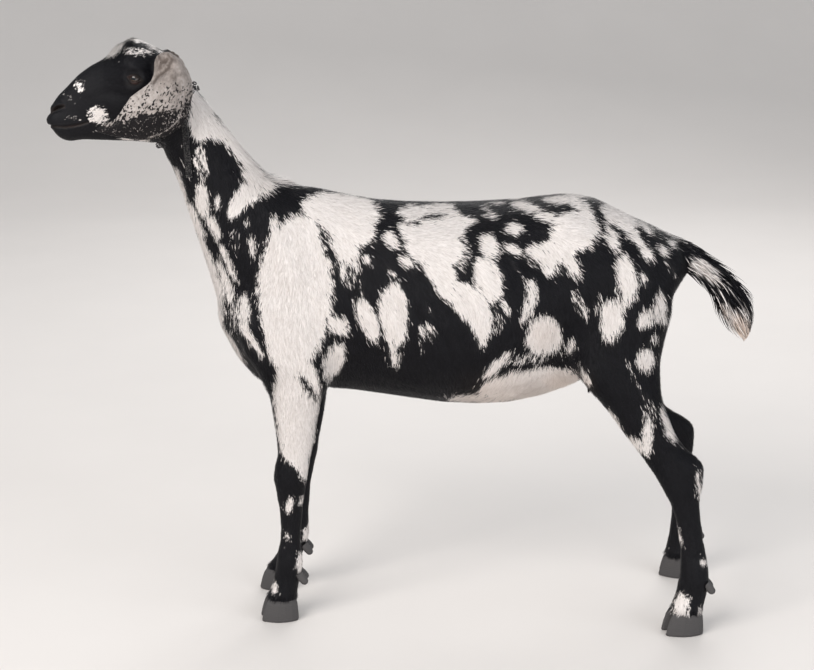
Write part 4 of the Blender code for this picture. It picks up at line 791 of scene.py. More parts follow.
def whiteShare(points):
    # the share of white hair at each point
    near = sideShare(onNearSide(points, edges["over"]), nearWhite, nearDark, nearMixed, edges["wander"])
    far = sideShare(onNearSide(points), farWhite, farDark, farMixed, edges["wanderFar"])
    t = smoothStep(-edges["blend"], edges["blend"], points[:, 1])
    return near * (1 - t) + far * t


# The ear in photo pixels: where it changes from pale to black, and its light edges
earLines = {
    "border": [(108, 124.5), (117, 123), (125, 122), (131, 119), (137, 116.5), (143, 113), (150, 113.5),
               (157, 112),
               (165, 112.5), (170, 109.5), (176, 109), (183, 104), (192, 98)],
    "rim": [(148, 138), (160, 134), (169.5, 128.8), (175, 123.6), (179, 118.5), (184, 104)],
    "tip": [(98, 132.4), (102, 130.8), (107, 128.6), (113, 125.8), (117, 122.5)],
}
# Places where the ear's pale hair is darker and browner, partly its own tone and partly painted shade in
# and round its folds, and, with a negative strength, paler: across, down, half width, half height, strength
earToneAndShade = [
    (167, 62, 12, 13, 0.20), (172, 78, 12, 12, 0.06), (184, 88, 6, 16, -0.04), (160, 74, 5, 5, 0.12),
    (138, 103, 18, 9, -0.12), (128, 112, 14, 8, -0.12), (150, 90, 9, 7, -0.04), (177, 66, 5, 6, -0.14),
]
# Shadows in its folds: the line, its width, strength
earCreases = [
    ([(153.5, 83), (158, 77), (164, 72.5), (168.5, 68), (170.5, 62)], 1.5, 0.30),
    ([(158, 55), (161, 61), (160.5, 68)], 1.2, 0.34),
    ([(163, 62), (167, 59.5)], 1.4, 0.30),
    ([(168, 54.5), (172, 60)], 1.2, 0.20),
    ([(172, 76), (178, 84), (180, 92)], 2.2, 0.10),
]


# How the hair is mixed on it. A ramp is its strength, and from where to where it grows.
earHair = {
    "wander": (2.6, 0.0065),  # of the border: pixels, and the size of a wave
    "fray": (1.8, 0.0030),
    "borderSoft": 0.8,
    "freckleLong": 2.5,
    "freckleWide": 1.7,
    "freckleDetail": (0.45, 0.55),  # strength and size beside the first
    "freckleEdge": 0.10,
    "freckleLeast": 0.66,  # less of the ear is freckled where this is high
    "freckledBorder": (0.42, 26, 2),
    "freckledTip": (0.16, 142, 122),
    "freckledBelow": (0.10, 78, 86),
    "clearAbove": (0.45, 84, 76),
    "rim": (1.0, 0.50),  # width and share of white
    "tip": (0.9, 0.34),
    "roanSize": 0.0015,
    "roanStep": (0.0, 0.35),
    "roan": 0.22,
    "roanBehind": (0.42, 156, 170),
    "roanNear": (22, 6),
    "dusk": 0.70,
    "duskCloud": (0.09, 0.006),
    "duskGrain": (0.12, 0.0024),
    "duskPastBorder": (0.45, 2, 8),
    "warm": 0.18,
    "warmAbove": (0.22, 92, 60),
}


def earShares(points):
    # white share, warmth and darkness on an ear, the same on both sides; the darkness is the ear's own
    # browner tone with painted shade in its folds
    u, v = photoPixels(onNearSide(points))
    border = np.interp(u, *zip(*earLines["border"]))
    over = border - v
    for (high, size), seed in ((earHair["wander"], 21), (earHair["fray"], 22)):
        over = over + high * latticeNoise(points, size, seed)
    pale = smoothStep(-earHair["borderSoft"], earHair["borderSoft"], over)
    # freckles, longer along the hair
    along, across = (u - v) / earHair["freckleLong"], (u + v) / earHair["freckleWide"]
    freckle = latticeNoise(np.stack([along, across, 0 * u], axis=1), 1.0, 23)
    detail, size = earHair["freckleDetail"]
    freckle = freckle + detail * latticeNoise(np.stack([along, across, 0 * u + 9], axis=1), size, 24)
    least = earHair["freckleLeast"] - ramped(*earHair["freckledBorder"], border - v)
    least = least - ramped(*earHair["freckledTip"], u) - ramped(*earHair["freckledBelow"], v)
    least = least + ramped(*earHair["clearAbove"], v)
    pale = pale * (1 - smoothStep(least, least + earHair["freckleEdge"], freckle))
    white = pale
    for key in ("rim", "tip"):
        wide, most = earHair[key]
        far = distanceToLine(u, v, earLines[key])[0]
        white = np.maximum(white, most * np.exp(-(far / wide) ** 2))
    roan = smoothStep(*earHair["roanStep"], latticeNoise(points, earHair["roanSize"], 25))
    behind = ramped(*earHair["roanBehind"], u) * smoothStep(*earHair["roanNear"], v - border)
    white = np.maximum(white, roan * (earHair["roan"] + behind))
    dusk = earHair["dusk"]
    for (high, size), seed in ((earHair["duskCloud"], 26), (earHair["duskGrain"], 27)):
        dusk = dusk + high * latticeNoise(points, size, seed)
    # painted shade in and round the folds, and, where the strength is negative, paler hair
    for *place, strength in earToneAndShade:
        dusk = dusk + strength * hill(u, v, *place)
    # painted shadow along the creases of the folds
    for line, wide, strength in earCreases:
        dusk = dusk + strength * np.exp(-(distanceToLine(u, v, line)[0] / wide) ** 2)
    dusk = dusk * (1 - ramped(*earHair["duskPastBorder"], v - border))
    warm = earHair["warm"] + ramped(*earHair["warmAbove"], v)
    return np.clip(white, 0, 1), np.clip(warm, 0, 1), np.clip(dusk, 0, 1)


# The bare skin below the root of the tail: its middle and its reaches
tailSkin = {"at": (0.399, 0.0, 0.534), "reach": (0.017, 0.014, 0.021), "edge": (0.75, 1.1)}


def underTail(points):
    away = (points - np.array(tailSkin["at"])) / np.array(tailSkin["reach"])
    return 1 - smoothStep(*tailSkin["edge"], np.linalg.norm(away, axis=1))


# Beige and brown hair in photo pixels: across, down, half width, half height, strength
warmSpots = [
    (558, 382, 22, 12, 0.55),  # belly, in front of the thigh
    (135.0, 84.0, 8.0, 1.8, 0.50),  # below the eye
    (130, 76.5, 3.0, 2.2, 0.18),
    (73, 126, 12, 2.6, 0.10),  # lips
    (545, 334, 15, 16, 0.30),  # round spot on the flank
]
warmBelly = {"strength": 0.36, "down": (360, 392), "from": (440, 480), "upTo": (590, 600), "lowest": 415}
warmTail = 0.85


def warmthAt(points):
    # 0 for clean hair, 1 for the beige of the belly and the brown of the lids
    u, v = photoPixels(onNearSide(points))
    warm = ramped(warmBelly["strength"], *warmBelly["down"], v) * smoothStep(*warmBelly["from"], u)
    warm = warm * (1 - smoothStep(*warmBelly["upTo"], u)) * (v < warmBelly["lowest"])
    for *place, strength in warmSpots:
        warm = np.maximum(warm, strength * hill(u, v, *place))
    warm = np.maximum(warm, warmTail * underTail(points))
    return np.clip(warm, 0, 1)


# Lie of the coat, seen from the side in photo pixels: across, down, and the way the hair points
comb = [
    (60, 110, 0.8, -0.4), (75, 85, 0.75, -0.65), (100, 70, 0.8, -0.6), (125, 50, 0.9, -0.3),
    (150, 45, 0.95, 0.3),
    (95, 118, 0.95, -0.1), (120, 105, 0.9, 0.1), (135, 95, 0.8, 0.4), (80, 135, 0.95, 0.05),
    (120, 138, 0.95, 0.1),
    (134, 70, 0.9, -0.2), (150, 75, 0.6, 0.7), (165, 60, 0.4, 0.9), (175, 80, 0.0, 1.0),
    (165, 105, -0.6, 0.8),
    (140, 115, -0.8, 0.5), (175, 130, -0.7, 0.6), (185, 110, 0.15, 1.0), (200, 115, 0.3, 0.95),
    (175, 155, 0.5, 0.85),
    (200, 165, 0.15, 1.0), (225, 145, 0.35, 0.94), (250, 160, 0.45, 0.9), (232, 205, -0.2, 1.0),
    (262, 186, 0.1, 0.95),
    (280, 182, 0.8, 0.35), (195, 215, 0.35, 0.94), (215, 260, 0.3, 0.95), (225, 320, 0.35, 0.94),
    (245, 350, 0.6, 0.8),
    (245, 270, 0.0, 1.0), (275, 240, -0.2, 1.0), (262, 280, -0.15, 1.0), (295, 250, 0.1, 1.0),
    (300, 215, 0.3, 0.95),
    (295, 320, 0.0, 1.0), (275, 360, 0.25, 0.97), (315, 200, 0.8, 0.45), (345, 210, 0.85, 0.5),
    (370, 225, 0.9, 0.4),
    (340, 240, 0.55, 0.85), (350, 270, 0.3, 0.95), (340, 330, 0.4, 0.9), (330, 365, -0.1, 1.0),
    (365, 320, 0.42, 0.9),
    (385, 205, 1.0, 0.1), (390, 245, 0.75, 0.6), (395, 300, 0.35, 0.94), (395, 350, 0.1, 1.0),
    (400, 390, 0.4, 0.4),
    (430, 205, 1.0, 0.0), (435, 225, 1.0, 0.15), (440, 265, 0.75, 0.65), (435, 330, 0.4, 0.9),
    (450, 370, 0.2, 0.9),
    (485, 205, 1.0, 0.1), (490, 250, 0.75, 0.6), (485, 290, 0.65, 0.76), (482, 325, 0.2, 1.0),
    (500, 360, -0.5, 0.85),
    (530, 210, 1.0, 0.2), (565, 200, 1.0, 0.1), (520, 250, 0.85, 0.5), (545, 262, 0.55, 0.83),
    (575, 230, 0.95, 0.3),
    (575, 262, 0.5, 0.87), (530, 300, -0.1, 1.0), (545, 335, 0.0, 1.0), (525, 362, -0.25, 0.95),
    (560, 370, 0.3, 0.5),
    (540, 390, -0.4, 0.1), (470, 400, -0.3, 0.1), (585, 310, 0.2, 1.0), (600, 215, 0.8, 0.6),
    (620, 225, 0.75, 0.65),
    (650, 232, 0.85, 0.5), (630, 250, 0.6, 0.8), (627, 285, 0.2, 1.0), (612, 320, 0.1, 1.0),
    (650, 255, 0.4, 0.9),
    (670, 245, 0.6, 0.8), (665, 280, 0.3, 0.95), (655, 310, 0.05, 1.0), (646, 355, -0.05, 1.0),
    (600, 370, 0.3, 0.95),
    (590, 385, 0.6, 0.8), (620, 410, 0.5, 0.87), (650, 430, 0.1, 1.0), (670, 425, 0.5, 0.87),
    (680, 470, 0.3, 0.95),
    (690, 520, 0.05, 1.0), (690, 570, 0.1, 1.0), (682, 605, -0.1, 1.0), (700, 595, 0.2, 1.0),
    (295, 400, 0.05, 1.0),
    (300, 450, 0.2, 0.97), (290, 500, 0.0, 1.0), (288, 560, -0.1, 1.0), (280, 595, -0.2, 1.0),
    (680, 245, 0.8, 0.6),
    (700, 262, 0.7, 0.7), (730, 300, 0.5, 0.85),
]


combReach, combPower = 60, 1.6  # how soon, and how sharply, one place hands over to the next


def combedWay(points):
    # the way the hair lies at each point, before it is laid on the skin
    u, v = photoPixels(onNearSide(points))
    total = np.zeros((len(points), 2))
    weight = np.zeros(len(points))
    for cu, cv, du, dv in comb:
        near = 1 / ((u - cu) ** 2 + (v - cv) ** 2 + combReach) ** combPower
        total += near[:, None] * np.array([du, dv])
        weight += near
    total = total / weight[:, None]
    return np.stack([total[:, 0], np.zeros(len(points)), -total[:, 1]], axis=1)


# Where the coat changes: up the legs, along the head and the nose, and round the eyes
zones = {"legs": (0.16, 0.36), "head": (-0.385, -0.325), "nose": (-0.470, -0.410), "eyes": (0.013, 0.024)}


def aboveLegs(points):
    return smoothStep(*zones["legs"], points[:, 2])


def onHeadShare(points):
    return 1 - smoothStep(*zones["head"], points[:, 0])


def onNoseShare(points):
    return 1 - smoothStep(*zones["nose"], points[:, 0])


# Tufts: hair length in metres by place, width, lift of the tip above the skin
tufts = {
    "spacing": 0.00173,
    "spacingParts": (0.80, 0.22, 0.10),  # on the legs, and how much closer on the head and the nose
    "length": 0.0118,
    "lengthParts": (0.42, 0.55, 0.42),  # on the legs, and how much shorter on the head and the nose
    "lengthLoose": (0.72, 0.5),  # the shortest beside that, and how much longer the longest is
    "lift": 0.0019,
    "liftParts": (0.45, 0.55, 0.3),
    "liftLoose": (0.55, 0.8),
    "atEye": (0.62, 0.6),  # how much shorter and flatter
    "width": 0.00098,
    "slimmest": 0.13,  # of its length
    "widthLoose": (0.75, 0.5),
    "widestAt": 0.42,
    "rootDepth": 0.0003,
    "sideDepth": 0.00022,
    "turnLoose": 0.16,
    "turnWander": (0.22, 0.022),  # and the size of a wave
    "shadeLoose": 0.14,
    "shadeRound": 0.35,
    "soften": 0.12,
    "seed": 7,
    "patch": 0.003,
    "mapEdge": 0.0005,
    "earLength": 0.0036,
    "earLift": 0.0007,
    "earSpacing": 0.00128,
    "pressedTo": 0.012,  # how far from the collar
    "pressed": (0.55, 0.75),  # how much shorter and flatter
    "blazeSpacing": 0.62,  # the forehead's tuft is denser
    "blaze": {"from": -0.442, "upTo": -0.412, "out": 0.016, "bottom": 0.83},
    "hangBelow": 0.0430,
    "hangLength": 0.0092,
    "hangOut": 0.24,
    "fringe": (0.0023, 0.0020),  # how far the colours mingle along the hair, on the body and on the head
}
longer = [  # photo pixels: across, down, reach, length of the hair, lift of its tips
    (274, 175, 14, 0.026, 0.0095), (112, 51, 9, 0.0105, 0.0044), (124, 45, 5, 0.012, 0.0042),
    (250, 162, 14, 0.020, 0.0045),
    (668, 300, 22, 0.021, 0.0040), (676, 262, 12, 0.018, 0.0040), (262, 372, 14, 0.020, 0.0045),
    (700, 480, 12, 0.012, 0.0035), (592, 384, 8, 0.016, 0.0035), (330, 378, 12, 0.018, 0.0035),
    (572, 376, 8, 0.012, 0.0030),
]


def byZone(points, parts):
    # the share of a measure that is left on the legs, the head and the nose
    leg, head, nose = parts
    share = leg + (1 - leg) * aboveLegs(points)
    return share * (1 - head * onHeadShare(points)) * (1 - nose * onNoseShare(points))


def hairAt(points, isEar):
    # length and lift of the hair at each point
    u, v = photoPixels(onNearSide(points))
    length = tufts["length"] * byZone(points, tufts["lengthParts"])
    lift = tufts["lift"] * byZone(points, tufts["liftParts"])
    for cu, cv, reach, long, high in longer:
        near = hill(u, v, cu, cv, reach, reach)
        length = length + (long - length) * near * (long > length)
        lift = lift + (high - lift) * near * (high > lift)
    nearEye = np.zeros(len(points))
    for side in (-1, 1):
        far = np.linalg.norm(points - np.array(eyeAxes(side)[0]), axis=1)
        nearEye = np.maximum(nearEye, 1 - smoothStep(*zones["eyes"], far))
    shorter, flatter = tufts["atEye"]
    length = length * (1 - shorter * nearEye)
    lift = lift * (1 - flatter * nearEye)
    length = np.where(points[:, 2] < tufts["hangBelow"], tufts["hangLength"], length)
    length = np.where(isEar, tufts["earLength"], length)
    lift = np.where(isEar, tufts["earLift"], lift)
    # the collar presses the hair down
    pressed = 1 - smoothStep(tufts["pressedTo"] * 0.4, tufts["pressedTo"], collarFar(points))
    shorter, flatter = tufts["pressed"]
    return length * (1 - shorter * pressed), lift * (1 - flatter * pressed)


collarReach = 0.02


def treeOf(points):
    # for finding the nearest of these points
    tree = KDTree(len(points))
    for index, point in enumerate(points):
        tree.insert(point, index)
    tree.balance()
    return tree


def collarFar(points):
    # the distance to the collar's solids, for the points that are near them
    solids = np.concatenate([nodePoints("collar_chain"), nodePoints("collar_spare_chain")])
    tree = treeOf(solids)
    low, high = solids.min(axis=0) - collarReach, solids.max(axis=0) + collarReach
    near = np.all((points > low) & (points < high), axis=1)
    far = np.full(len(points), 1.0)
    far[near] = [tree.find(p)[2] for p in points[near]]
    return far


unwrapAngle, unwrapMargin = 66, 0.002  # degrees, and a share of the map


def unwrap(obj):
    bpy.ops.object.select_all(action="DESELECT")
    obj.select_set(True)
    bpy.context.view_layer.objects.active = obj
    obj.data.uv_layers.new(name="OFBake")
    bpy.ops.object.mode_set(mode="EDIT")
    bpy.ops.mesh.select_all(action="SELECT")
    bpy.ops.uv.smart_project(angle_limit=math.radians(unwrapAngle), island_margin=unwrapMargin)
    bpy.ops.object.mode_set(mode="OBJECT")


def partLabels(points, names):
    # the CAD node nearest to each point
    solids = [nodePoints(name) for name in names]
    tree = treeOf(np.concatenate(solids))
    owner = np.repeat(np.arange(len(names)), [len(solid) for solid in solids])
    return owner[[tree.find(p)[1] for p in points]]


def skinTriangles(mesh):
    mesh.calc_loop_triangles()
    count = len(mesh.loop_triangles)
    corners = np.empty(count * 3, np.int64)
    loops = np.empty(count * 3, np.int64)
    mesh.loop_triangles.foreach_get("vertices", corners)
    mesh.loop_triangles.foreach_get("loops", loops)
    uv = np.empty(len(mesh.loops) * 2)
    mesh.uv_layers["OFBake"].data.foreach_get("uv", uv)
    return corners.reshape(-1, 3), loops.reshape(-1, 3), uv.reshape(-1, 2)


def tuftRoots(skinObject, bodyCount, chance):
    # evenly spread roots on the skin: place, normal, map place, and whether it is on an ear
    mesh = skinObject.data
    points, normals = pointsOf(mesh), normalsOf(mesh)
    corners, loops, uv = skinTriangles(mesh)
    isEar = corners[:, 0] >= bodyCount
    a, b, c = points[corners[:, 0]], points[corners[:, 1]], points[corners[:, 2]]
    area = np.linalg.norm(np.cross(b - a, c - a), axis=1) / 2
    middle = (a + b + c) / 3
    spacing = rootSpacing(middle, isEar)
    wanted = area / spacing ** 2
    wanted = np.where(bareShare(middle, isEar) > 0.5, 0, wanted)
    count = np.floor(wanted + chance.random(len(wanted))).astype(int)
    pick = np.repeat(np.arange(len(count)), count)
    r1, r2 = chance.random(len(pick)), chance.random(len(pick))
    flip = r1 + r2 > 1
    r1, r2 = np.where(flip, 1 - r1, r1), np.where(flip, 1 - r2, r2)
    shares = np.stack([1 - r1 - r2, r1, r2], axis=1)
    place = np.einsum("ij,ijk->ik", shares, points[corners[pick]])
    normal = unit(np.einsum("ij,ijk->ik", shares, normals[corners[pick]]))
    mapPlace = np.einsum("ij,ijk->ik", shares, uv[loops[pick]])
    return place, normal, mapPlace, isEar[pick]


def rootSpacing(points, isEar):
    x, y, z = points.T
    spacing = tufts["spacing"] * byZone(points, tufts["spacingParts"])
    box = tufts["blaze"]
    blaze = (x > box["from"]) & (x < box["upTo"]) & (np.abs(y) < box["out"]) & (z > box["bottom"])
    spacing = np.where(blaze, spacing * tufts["blazeSpacing"], spacing)
    return np.where(isEar, tufts["earSpacing"], spacing)


# Places with no tufts: how near to them, and how far they reach
bare = {
    "lid": -0.0022,
    "lidReach": 0.020,
    "nostril": 0.0032,
    "nostrilBack": -0.48,
    "nostrilOut": 0.004,
    "mouth": 0.0020,
    "soles": 0.0350,
    "underTail": 0.6,
    "teats": {"x": 0.245, "z": 0.331, "long": 0.035, "out": 0.05, "tall": 0.013, "top": 0.338},
}


def bareShare(points, isEar):
    # lids, nostrils, the line of the mouth, teats and the soles
    x, y, z = points.T
    found = np.zeros(len(points), bool)
    for side in (-1, 1):
        centre, look, along, up = eyeAxes(side)
        offset = points - np.array(centre)
        inside = almond(offset @ np.array(along), offset @ np.array(up))
        found |= (inside > bare["lid"]) & (np.linalg.norm(offset, axis=1) < bare["lidReach"])
    nostril = distanceToLine(x, z, face["nostril"])[0] < bare["nostril"]
    found |= nostril & (x < bare["nostrilBack"]) & (np.abs(y) > bare["nostrilOut"])
    found |= (distanceToLine(x, z, face["mouth"])[0] < bare["mouth"]) & (x < face["mouthBack"])
    found |= (z < bare["soles"]) | (underTail(points) > bare["underTail"])
    box = bare["teats"]
    tall = (np.abs(z - box["z"]) < box["tall"]) & (z < box["top"])
    found |= tall & (np.abs(x - box["x"]) < box["long"]) & (np.abs(y) < box["out"])
    return (found & ~isEar).astype(float)


def loose(chance, count, least, more):
    return least + more * chance.random(count)


def growCoat(skinObject, bodyCount):
    chance = np.random.default_rng(tufts["seed"])
    place, normal, mapPlace, isEar = tuftRoots(skinObject, bodyCount, chance)
    count = len(place)
    print("tufts:", count)
    way = combedWay(place)
    # stray hairs, and a slow wander of the lie
    wander, size = tufts["turnWander"]
    turn = tufts["turnLoose"] * chance.standard_normal(count) + wander * latticeNoise(place, size, 11)
    way = unit(way - normal * np.sum(way * normal, axis=1)[:, None])
    across = np.cross(normal, way)
    way = way * np.cos(turn)[:, None] + across * np.sin(turn)[:, None]
    across = np.cross(normal, way)
    length, lift = hairAt(place, isEar)
    length = length * loose(chance, count, *tufts["lengthLoose"])
    lift = lift * loose(chance, count, *tufts["liftLoose"])
    width = np.minimum(tufts["width"], length * tufts["slimmest"])
    width = width * loose(chance, count, *tufts["widthLoose"])
    tree = BVHTree.FromObject(skinObject, bpy.context.evaluated_depsgraph_get())
    tips = place + way * length[:, None]
    # the last hair above the hooves hangs over their edge
    hanging = place[:, 2] < tufts["hangBelow"]
    tips = tips + normal * (hanging * (lift + length * tufts["hangOut"]))[:, None]
    for k in np.flatnonzero(~hanging):
        spot, up, _, _ = tree.find_nearest(tips[k])
        tips[k] = (spot.x + up.x * lift[k], spot.y + up.y * lift[k], spot.z + up.z * lift[k])
    root = place - normal * tufts["rootDepth"]
    middle = place * (1 - tufts["widestAt"]) + tips * tufts["widestAt"]
    sunk, half = middle - normal * tufts["sideDepth"], across * (width / 2)[:, None]
    points = np.stack([root, sunk - half, sunk + half, tips], axis=1)
    leaning = unit(normal + tufts["shadeLoose"] * chance.standard_normal((count, 3)))
    aside = tufts["shadeRound"] * across
    shading = unit(np.stack([leaning, leaning - aside, leaning + aside, leaning], axis=1))
    earWhite, earWarm, earDark = earShares(middle)
    dusk = np.where(isEar, earDark, 0)
    onHead = onHeadShare(place)
    fringe = tufts["fringe"][0] * (1 - onHead) + tufts["fringe"][1] * onHead
    shifted = middle + way * (fringe * chance.standard_normal(count))[:, None]
    white = np.where(isEar, earWhite, whiteShare(shifted))
    warm = np.where(isEar, earWarm, warmthAt(middle))
    # each tuft is one colour, which frays the edges of the markings
    isWhite = (chance.random(count) < white).astype(float)
    soften = tufts["soften"] * (white - isWhite)
    colour = np.stack([isWhite + soften, chance.random(count), warm, np.ones(count)], axis=1)
    names = skin["flesh"] + skin["ears"] + ["tail"]
    labels = partLabels(place, names)
    groups = {}
    for index, name in enumerate(names):
        for key, chosen in coatPieces(name, place):
            mine = (labels == index) & chosen
            groups.setdefault(key, np.zeros(count, bool))
            groups[key] |= mine
    pieces = []
    for key, mine in groups.items():
        pieces.append(tuftMesh("coat_" + key, points[mine], shading[mine], colour[mine], mapPlace[mine]))
        if key == "ears":
            setDusk(pieces[-1].data, np.repeat(dusk[mine], 4))
    return pieces


def setDusk(mesh, values):
    layer = mesh.attributes.new("dusk", "FLOAT", "POINT")
    layer.data.foreach_set("value", values.astype(np.float32))


def setHair(mesh, colours):
    # share of white hair, tone, warmth
    layer = mesh.attributes.new("hair", "FLOAT_COLOR", "POINT")
    layer.data.foreach_set("color", colours.astype(np.float32).ravel())


def setMap(mesh, mapPlace, patch, faces):
    # each tuft is a small patch at its root's place on the skin's map
    layer = mesh.uv_layers.new(name="OFBake")
    spots = mapPlace[:, None, :] + (patch[None] - 0.5) * tufts["patch"]
    spots = np.clip(spots.reshape(-1, 2), tufts["mapEdge"], 1 - tufts["mapEdge"])
    layer.data.foreach_set("uv", spots[faces.ravel()].astype(np.float32).ravel())


chestBack, ribsBack = -0.16, 0.13  # where one coat piece ends and the next begins


def coatPieces(name, place):
    # the coat piece that a node's tufts belong to
    x, y = place[:, 0], place[:, 1]
    everywhere = np.ones(len(place), bool)
    if name.startswith("ear_"):
        return [("ears", everywhere)]
    if name in ("head", "neck", "tail"):
        return [(name if name != "tail" else "dock", everywhere)]
    if name.startswith(("shoulder", "forearm", "fore_cannon")):
        return [("fore_" + name.rsplit("_", 1)[1], everywhere)]
    if name.startswith(("thigh", "shank", "hind_cannon")):
        return [("hind_" + name.rsplit("_", 1)[1], everywhere)]
    return [
        ("chest", x < chestBack),
        ("ribs_left", (x >= chestBack) & (x < ribsBack) & (y < 0)),
        ("ribs_right", (x >= chestBack) & (x < ribsBack) & (y >= 0)),
        ("loin_left", (x >= ribsBack) & (y < 0)),
        ("loin_right", (x >= ribsBack) & (y >= 0)),
    ]


# root, left, right and tip: two long faces above, two below
tuftFaces = np.array([(0, 1, 3), (0, 3, 2), (0, 2, 1), (1, 2, 3)])
# where a tuft's corners lie on its own small patch of the map
patchPlaces = np.array([(0.5, 0.0), (0.0, 0.4), (1.0, 0.4), (0.5, 1.0)])


def tuftMesh(name, points, normals, colour, mapPlace):
    count = len(points)
    faces = (tuftFaces[None] + np.arange(count)[:, None, None] * 4).reshape(-1, 3)
    mesh = meshFromArrays(name, points.reshape(-1, 3), faces)
    setHair(mesh, np.repeat(colour, 4, axis=0))
    setMap(mesh, mapPlace, patchPlaces, faces)
    mesh.normals_split_custom_set_from_vertices(normals.reshape(-1, 3).tolist())
    return placed(name, mesh)


# The tail with its hair, seen from the side: top x, z, bottom x, z, half width
tailForm = [
    (0.3800, 0.5840, 0.3820, 0.5420, 0.021),
    (0.3960, 0.5750, 0.3930, 0.5350, 0.022),
    (0.4140, 0.5650, 0.4030, 0.5270, 0.023),
    (0.4290, 0.5555, 0.4160, 0.5180, 0.024),
    (0.4440, 0.5440, 0.4310, 0.5070, 0.025),
    (0.4600, 0.5325, 0.4420, 0.4970, 0.026),
    (0.4750, 0.5215, 0.4500, 0.4860, 0.026),
    (0.4860, 0.5105, 0.4555, 0.4750, 0.025),
    (0.4955, 0.4980, 0.4610, 0.4630, 0.023),
    (0.5040, 0.4840, 0.4690, 0.4500, 0.020),
    (0.5090, 0.4680, 0.4790, 0.4370, 0.016),
    (0.5110, 0.4500, 0.4910, 0.4260, 0.011),
    (0.5080, 0.4320, 0.5000, 0.4205, 0.006),
]
tailHair = {
    "count": 3400,
    "rows": 6,
    "start": (0.85, 0.86, 0.02),  # power, spread and first place of the roots along the tail
    "reach": (0.16, 0.36),
    "reachAlong": (0.55, 0.75, 0.45),  # share at the tail's root, how much more further on, and where
    "width": 0.0021,
    "widthLoose": (0.6, 0.8),
    "fill": [(0.0, 0.90), (0.12, 0.86), (0.30, 0.66), (0.50, 0.44), (0.72, 0.22), (0.90, 0.10)],
    "tipFill": (0.30, 0.68, 0.45),  # least, how much more, and the power of its spread
    "overRoot": 1.02,
    "strays": 0.10,
    "strayFill": (1.02, 0.34),
    "bend": 0.6,
    "sway": 0.30,
    "droop": 0.004,
    "droopFrom": (0.5, 0.9),
    "whiteLeast": 0.02,
    "whiteEdge": (-1.5, 1.5),
    "whiteSoft": (-0.05, 0.05),
    "brownEdge": (-2.0, 3.0),
    "brownLoose": (0.4, 0.6),
    "facesAt": 0.2,
    "seed": 19,
}
strand = {"taper": (0.55, 1.0, 1.0, 0.85, 0.55), "sink": 0.30, "ridge": 0.45}
# photo pixels: across, down, half length, half width, turn, share of white hair
tailWhite = [
    (704, 268, 14, 7, 32, 0.95), (712, 275, 10, 7, 45, 0.9), (693, 269, 10, 4, 40, 0.5),
    (726, 286, 10, 5, 50, 0.15),
    (733, 298, 18, 8, 55, 0.06), (722, 300, 14, 5, 60, 0.08), (738, 326, 16, 7, 62, 0.9),
    (745, 335, 12, 6, 60, 1.0),
    (728, 312, 10, 5, 60, 0.6), (747, 318, 10, 4, 75, 0.6), (670, 241, 8, 2.0, 30, 0.4),
]
tailBrown = [(721, 312, 9, 5, 60), (744, 330, 16, 9, 60)]


def tailFrameAt(share):
    table = np.array(tailForm)
    at = np.clip(share, 0, 1) * (len(table) - 1)
    steps = np.arange(len(table))
    columns = [np.interp(at, steps, table[:, k]) for k in range(5)]
    top = np.stack([columns[0], 0 * at, columns[1]], axis=-1)
    bottom = np.stack([columns[2], 0 * at, columns[3]], axis=-1)
    return (top + bottom) / 2, (top - bottom) / 2, columns[4]


def tailColours(path, chance):
    # each lock changes its colour along its length
    count, rows = path.shape[:2]
    u, v = photoPixels(onNearSide(path.reshape(-1, 3)))
    white = np.full(count * rows, tailHair["whiteLeast"])
    for *mark, part in tailWhite:
        white = np.maximum(white, ramped(part, *tailHair["whiteEdge"], ellipseField(u, v, *mark)))
    warm = np.zeros(count * rows)
    for mark in tailBrown:
        warm = np.maximum(warm, smoothStep(*tailHair["brownEdge"], ellipseField(u, v, *mark)))
    isWhite = smoothStep(*tailHair["whiteSoft"], white.reshape(count, rows) - chance.random((count, 1)))
    brown = warm.reshape(count, rows) * loose(chance, (count, 1), *tailHair["brownLoose"])
    tone = np.repeat(chance.random((count, 1)), rows, axis=1)
    return np.stack([isWhite, tone, brown, np.ones((count, rows))], axis=2)


def tailCoat(skinObject):
    chance = np.random.default_rng(tailHair["seed"])
    count, rows = tailHair["count"], tailHair["rows"]
    power, spread, first = tailHair["start"]
    start = chance.random(count) ** power * spread + first
    angle = chance.random(count) * 2 * np.pi
    shortest, longest = tailHair["reach"]
    reach = loose(chance, count, shortest, longest - shortest)
    least, more, full = tailHair["reachAlong"]
    reach = reach * (least + ramped(more, 0.0, full, start))
    rootFill = np.interp(start, *zip(*tailHair["fill"]))
    least, more, power = tailHair["tipFill"]
    tipFill = least + more * chance.random(count) ** power
    tipFill = np.maximum(tipFill, rootFill * tailHair["overRoot"])
    stray = chance.random(count) < tailHair["strays"]
    tipFill = np.where(stray, loose(chance, count, *tailHair["strayFill"]), tipFill)
    drift = tailHair["sway"] * chance.standard_normal(count)
    path = []
    for t in np.linspace(0, 1, rows):
        centre, up, wide = tailFrameAt(start + reach * t)
        fill = rootFill + (tipFill - rootFill) * t ** tailHair["bend"]
        turn = angle + drift * t
        path.append(centre + up * (fill * np.cos(turn))[:, None]
                    + np.stack([0 * wide, wide * fill * np.sin(turn), 0 * wide], axis=-1))
    path = np.stack(path, axis=1)
    droop = tailHair["droop"] * chance.random(count) * smoothStep(*tailHair["droopFrom"], start)
    path[:, :, 2] -= droop[:, None] * np.linspace(0, 1, rows) ** 2
    colour = tailColours(path, chance)
    outward = unit(path[:, 1] - tailFrameAt(start + reach * tailHair["facesAt"])[0])
    width = tailHair["width"] * loose(chance, count, *tailHair["widthLoose"])
    mapPlace = mapNear(skinObject, path[:, 0])
    return strandMesh("coat_tail", path, outward, width, colour, mapPlace)


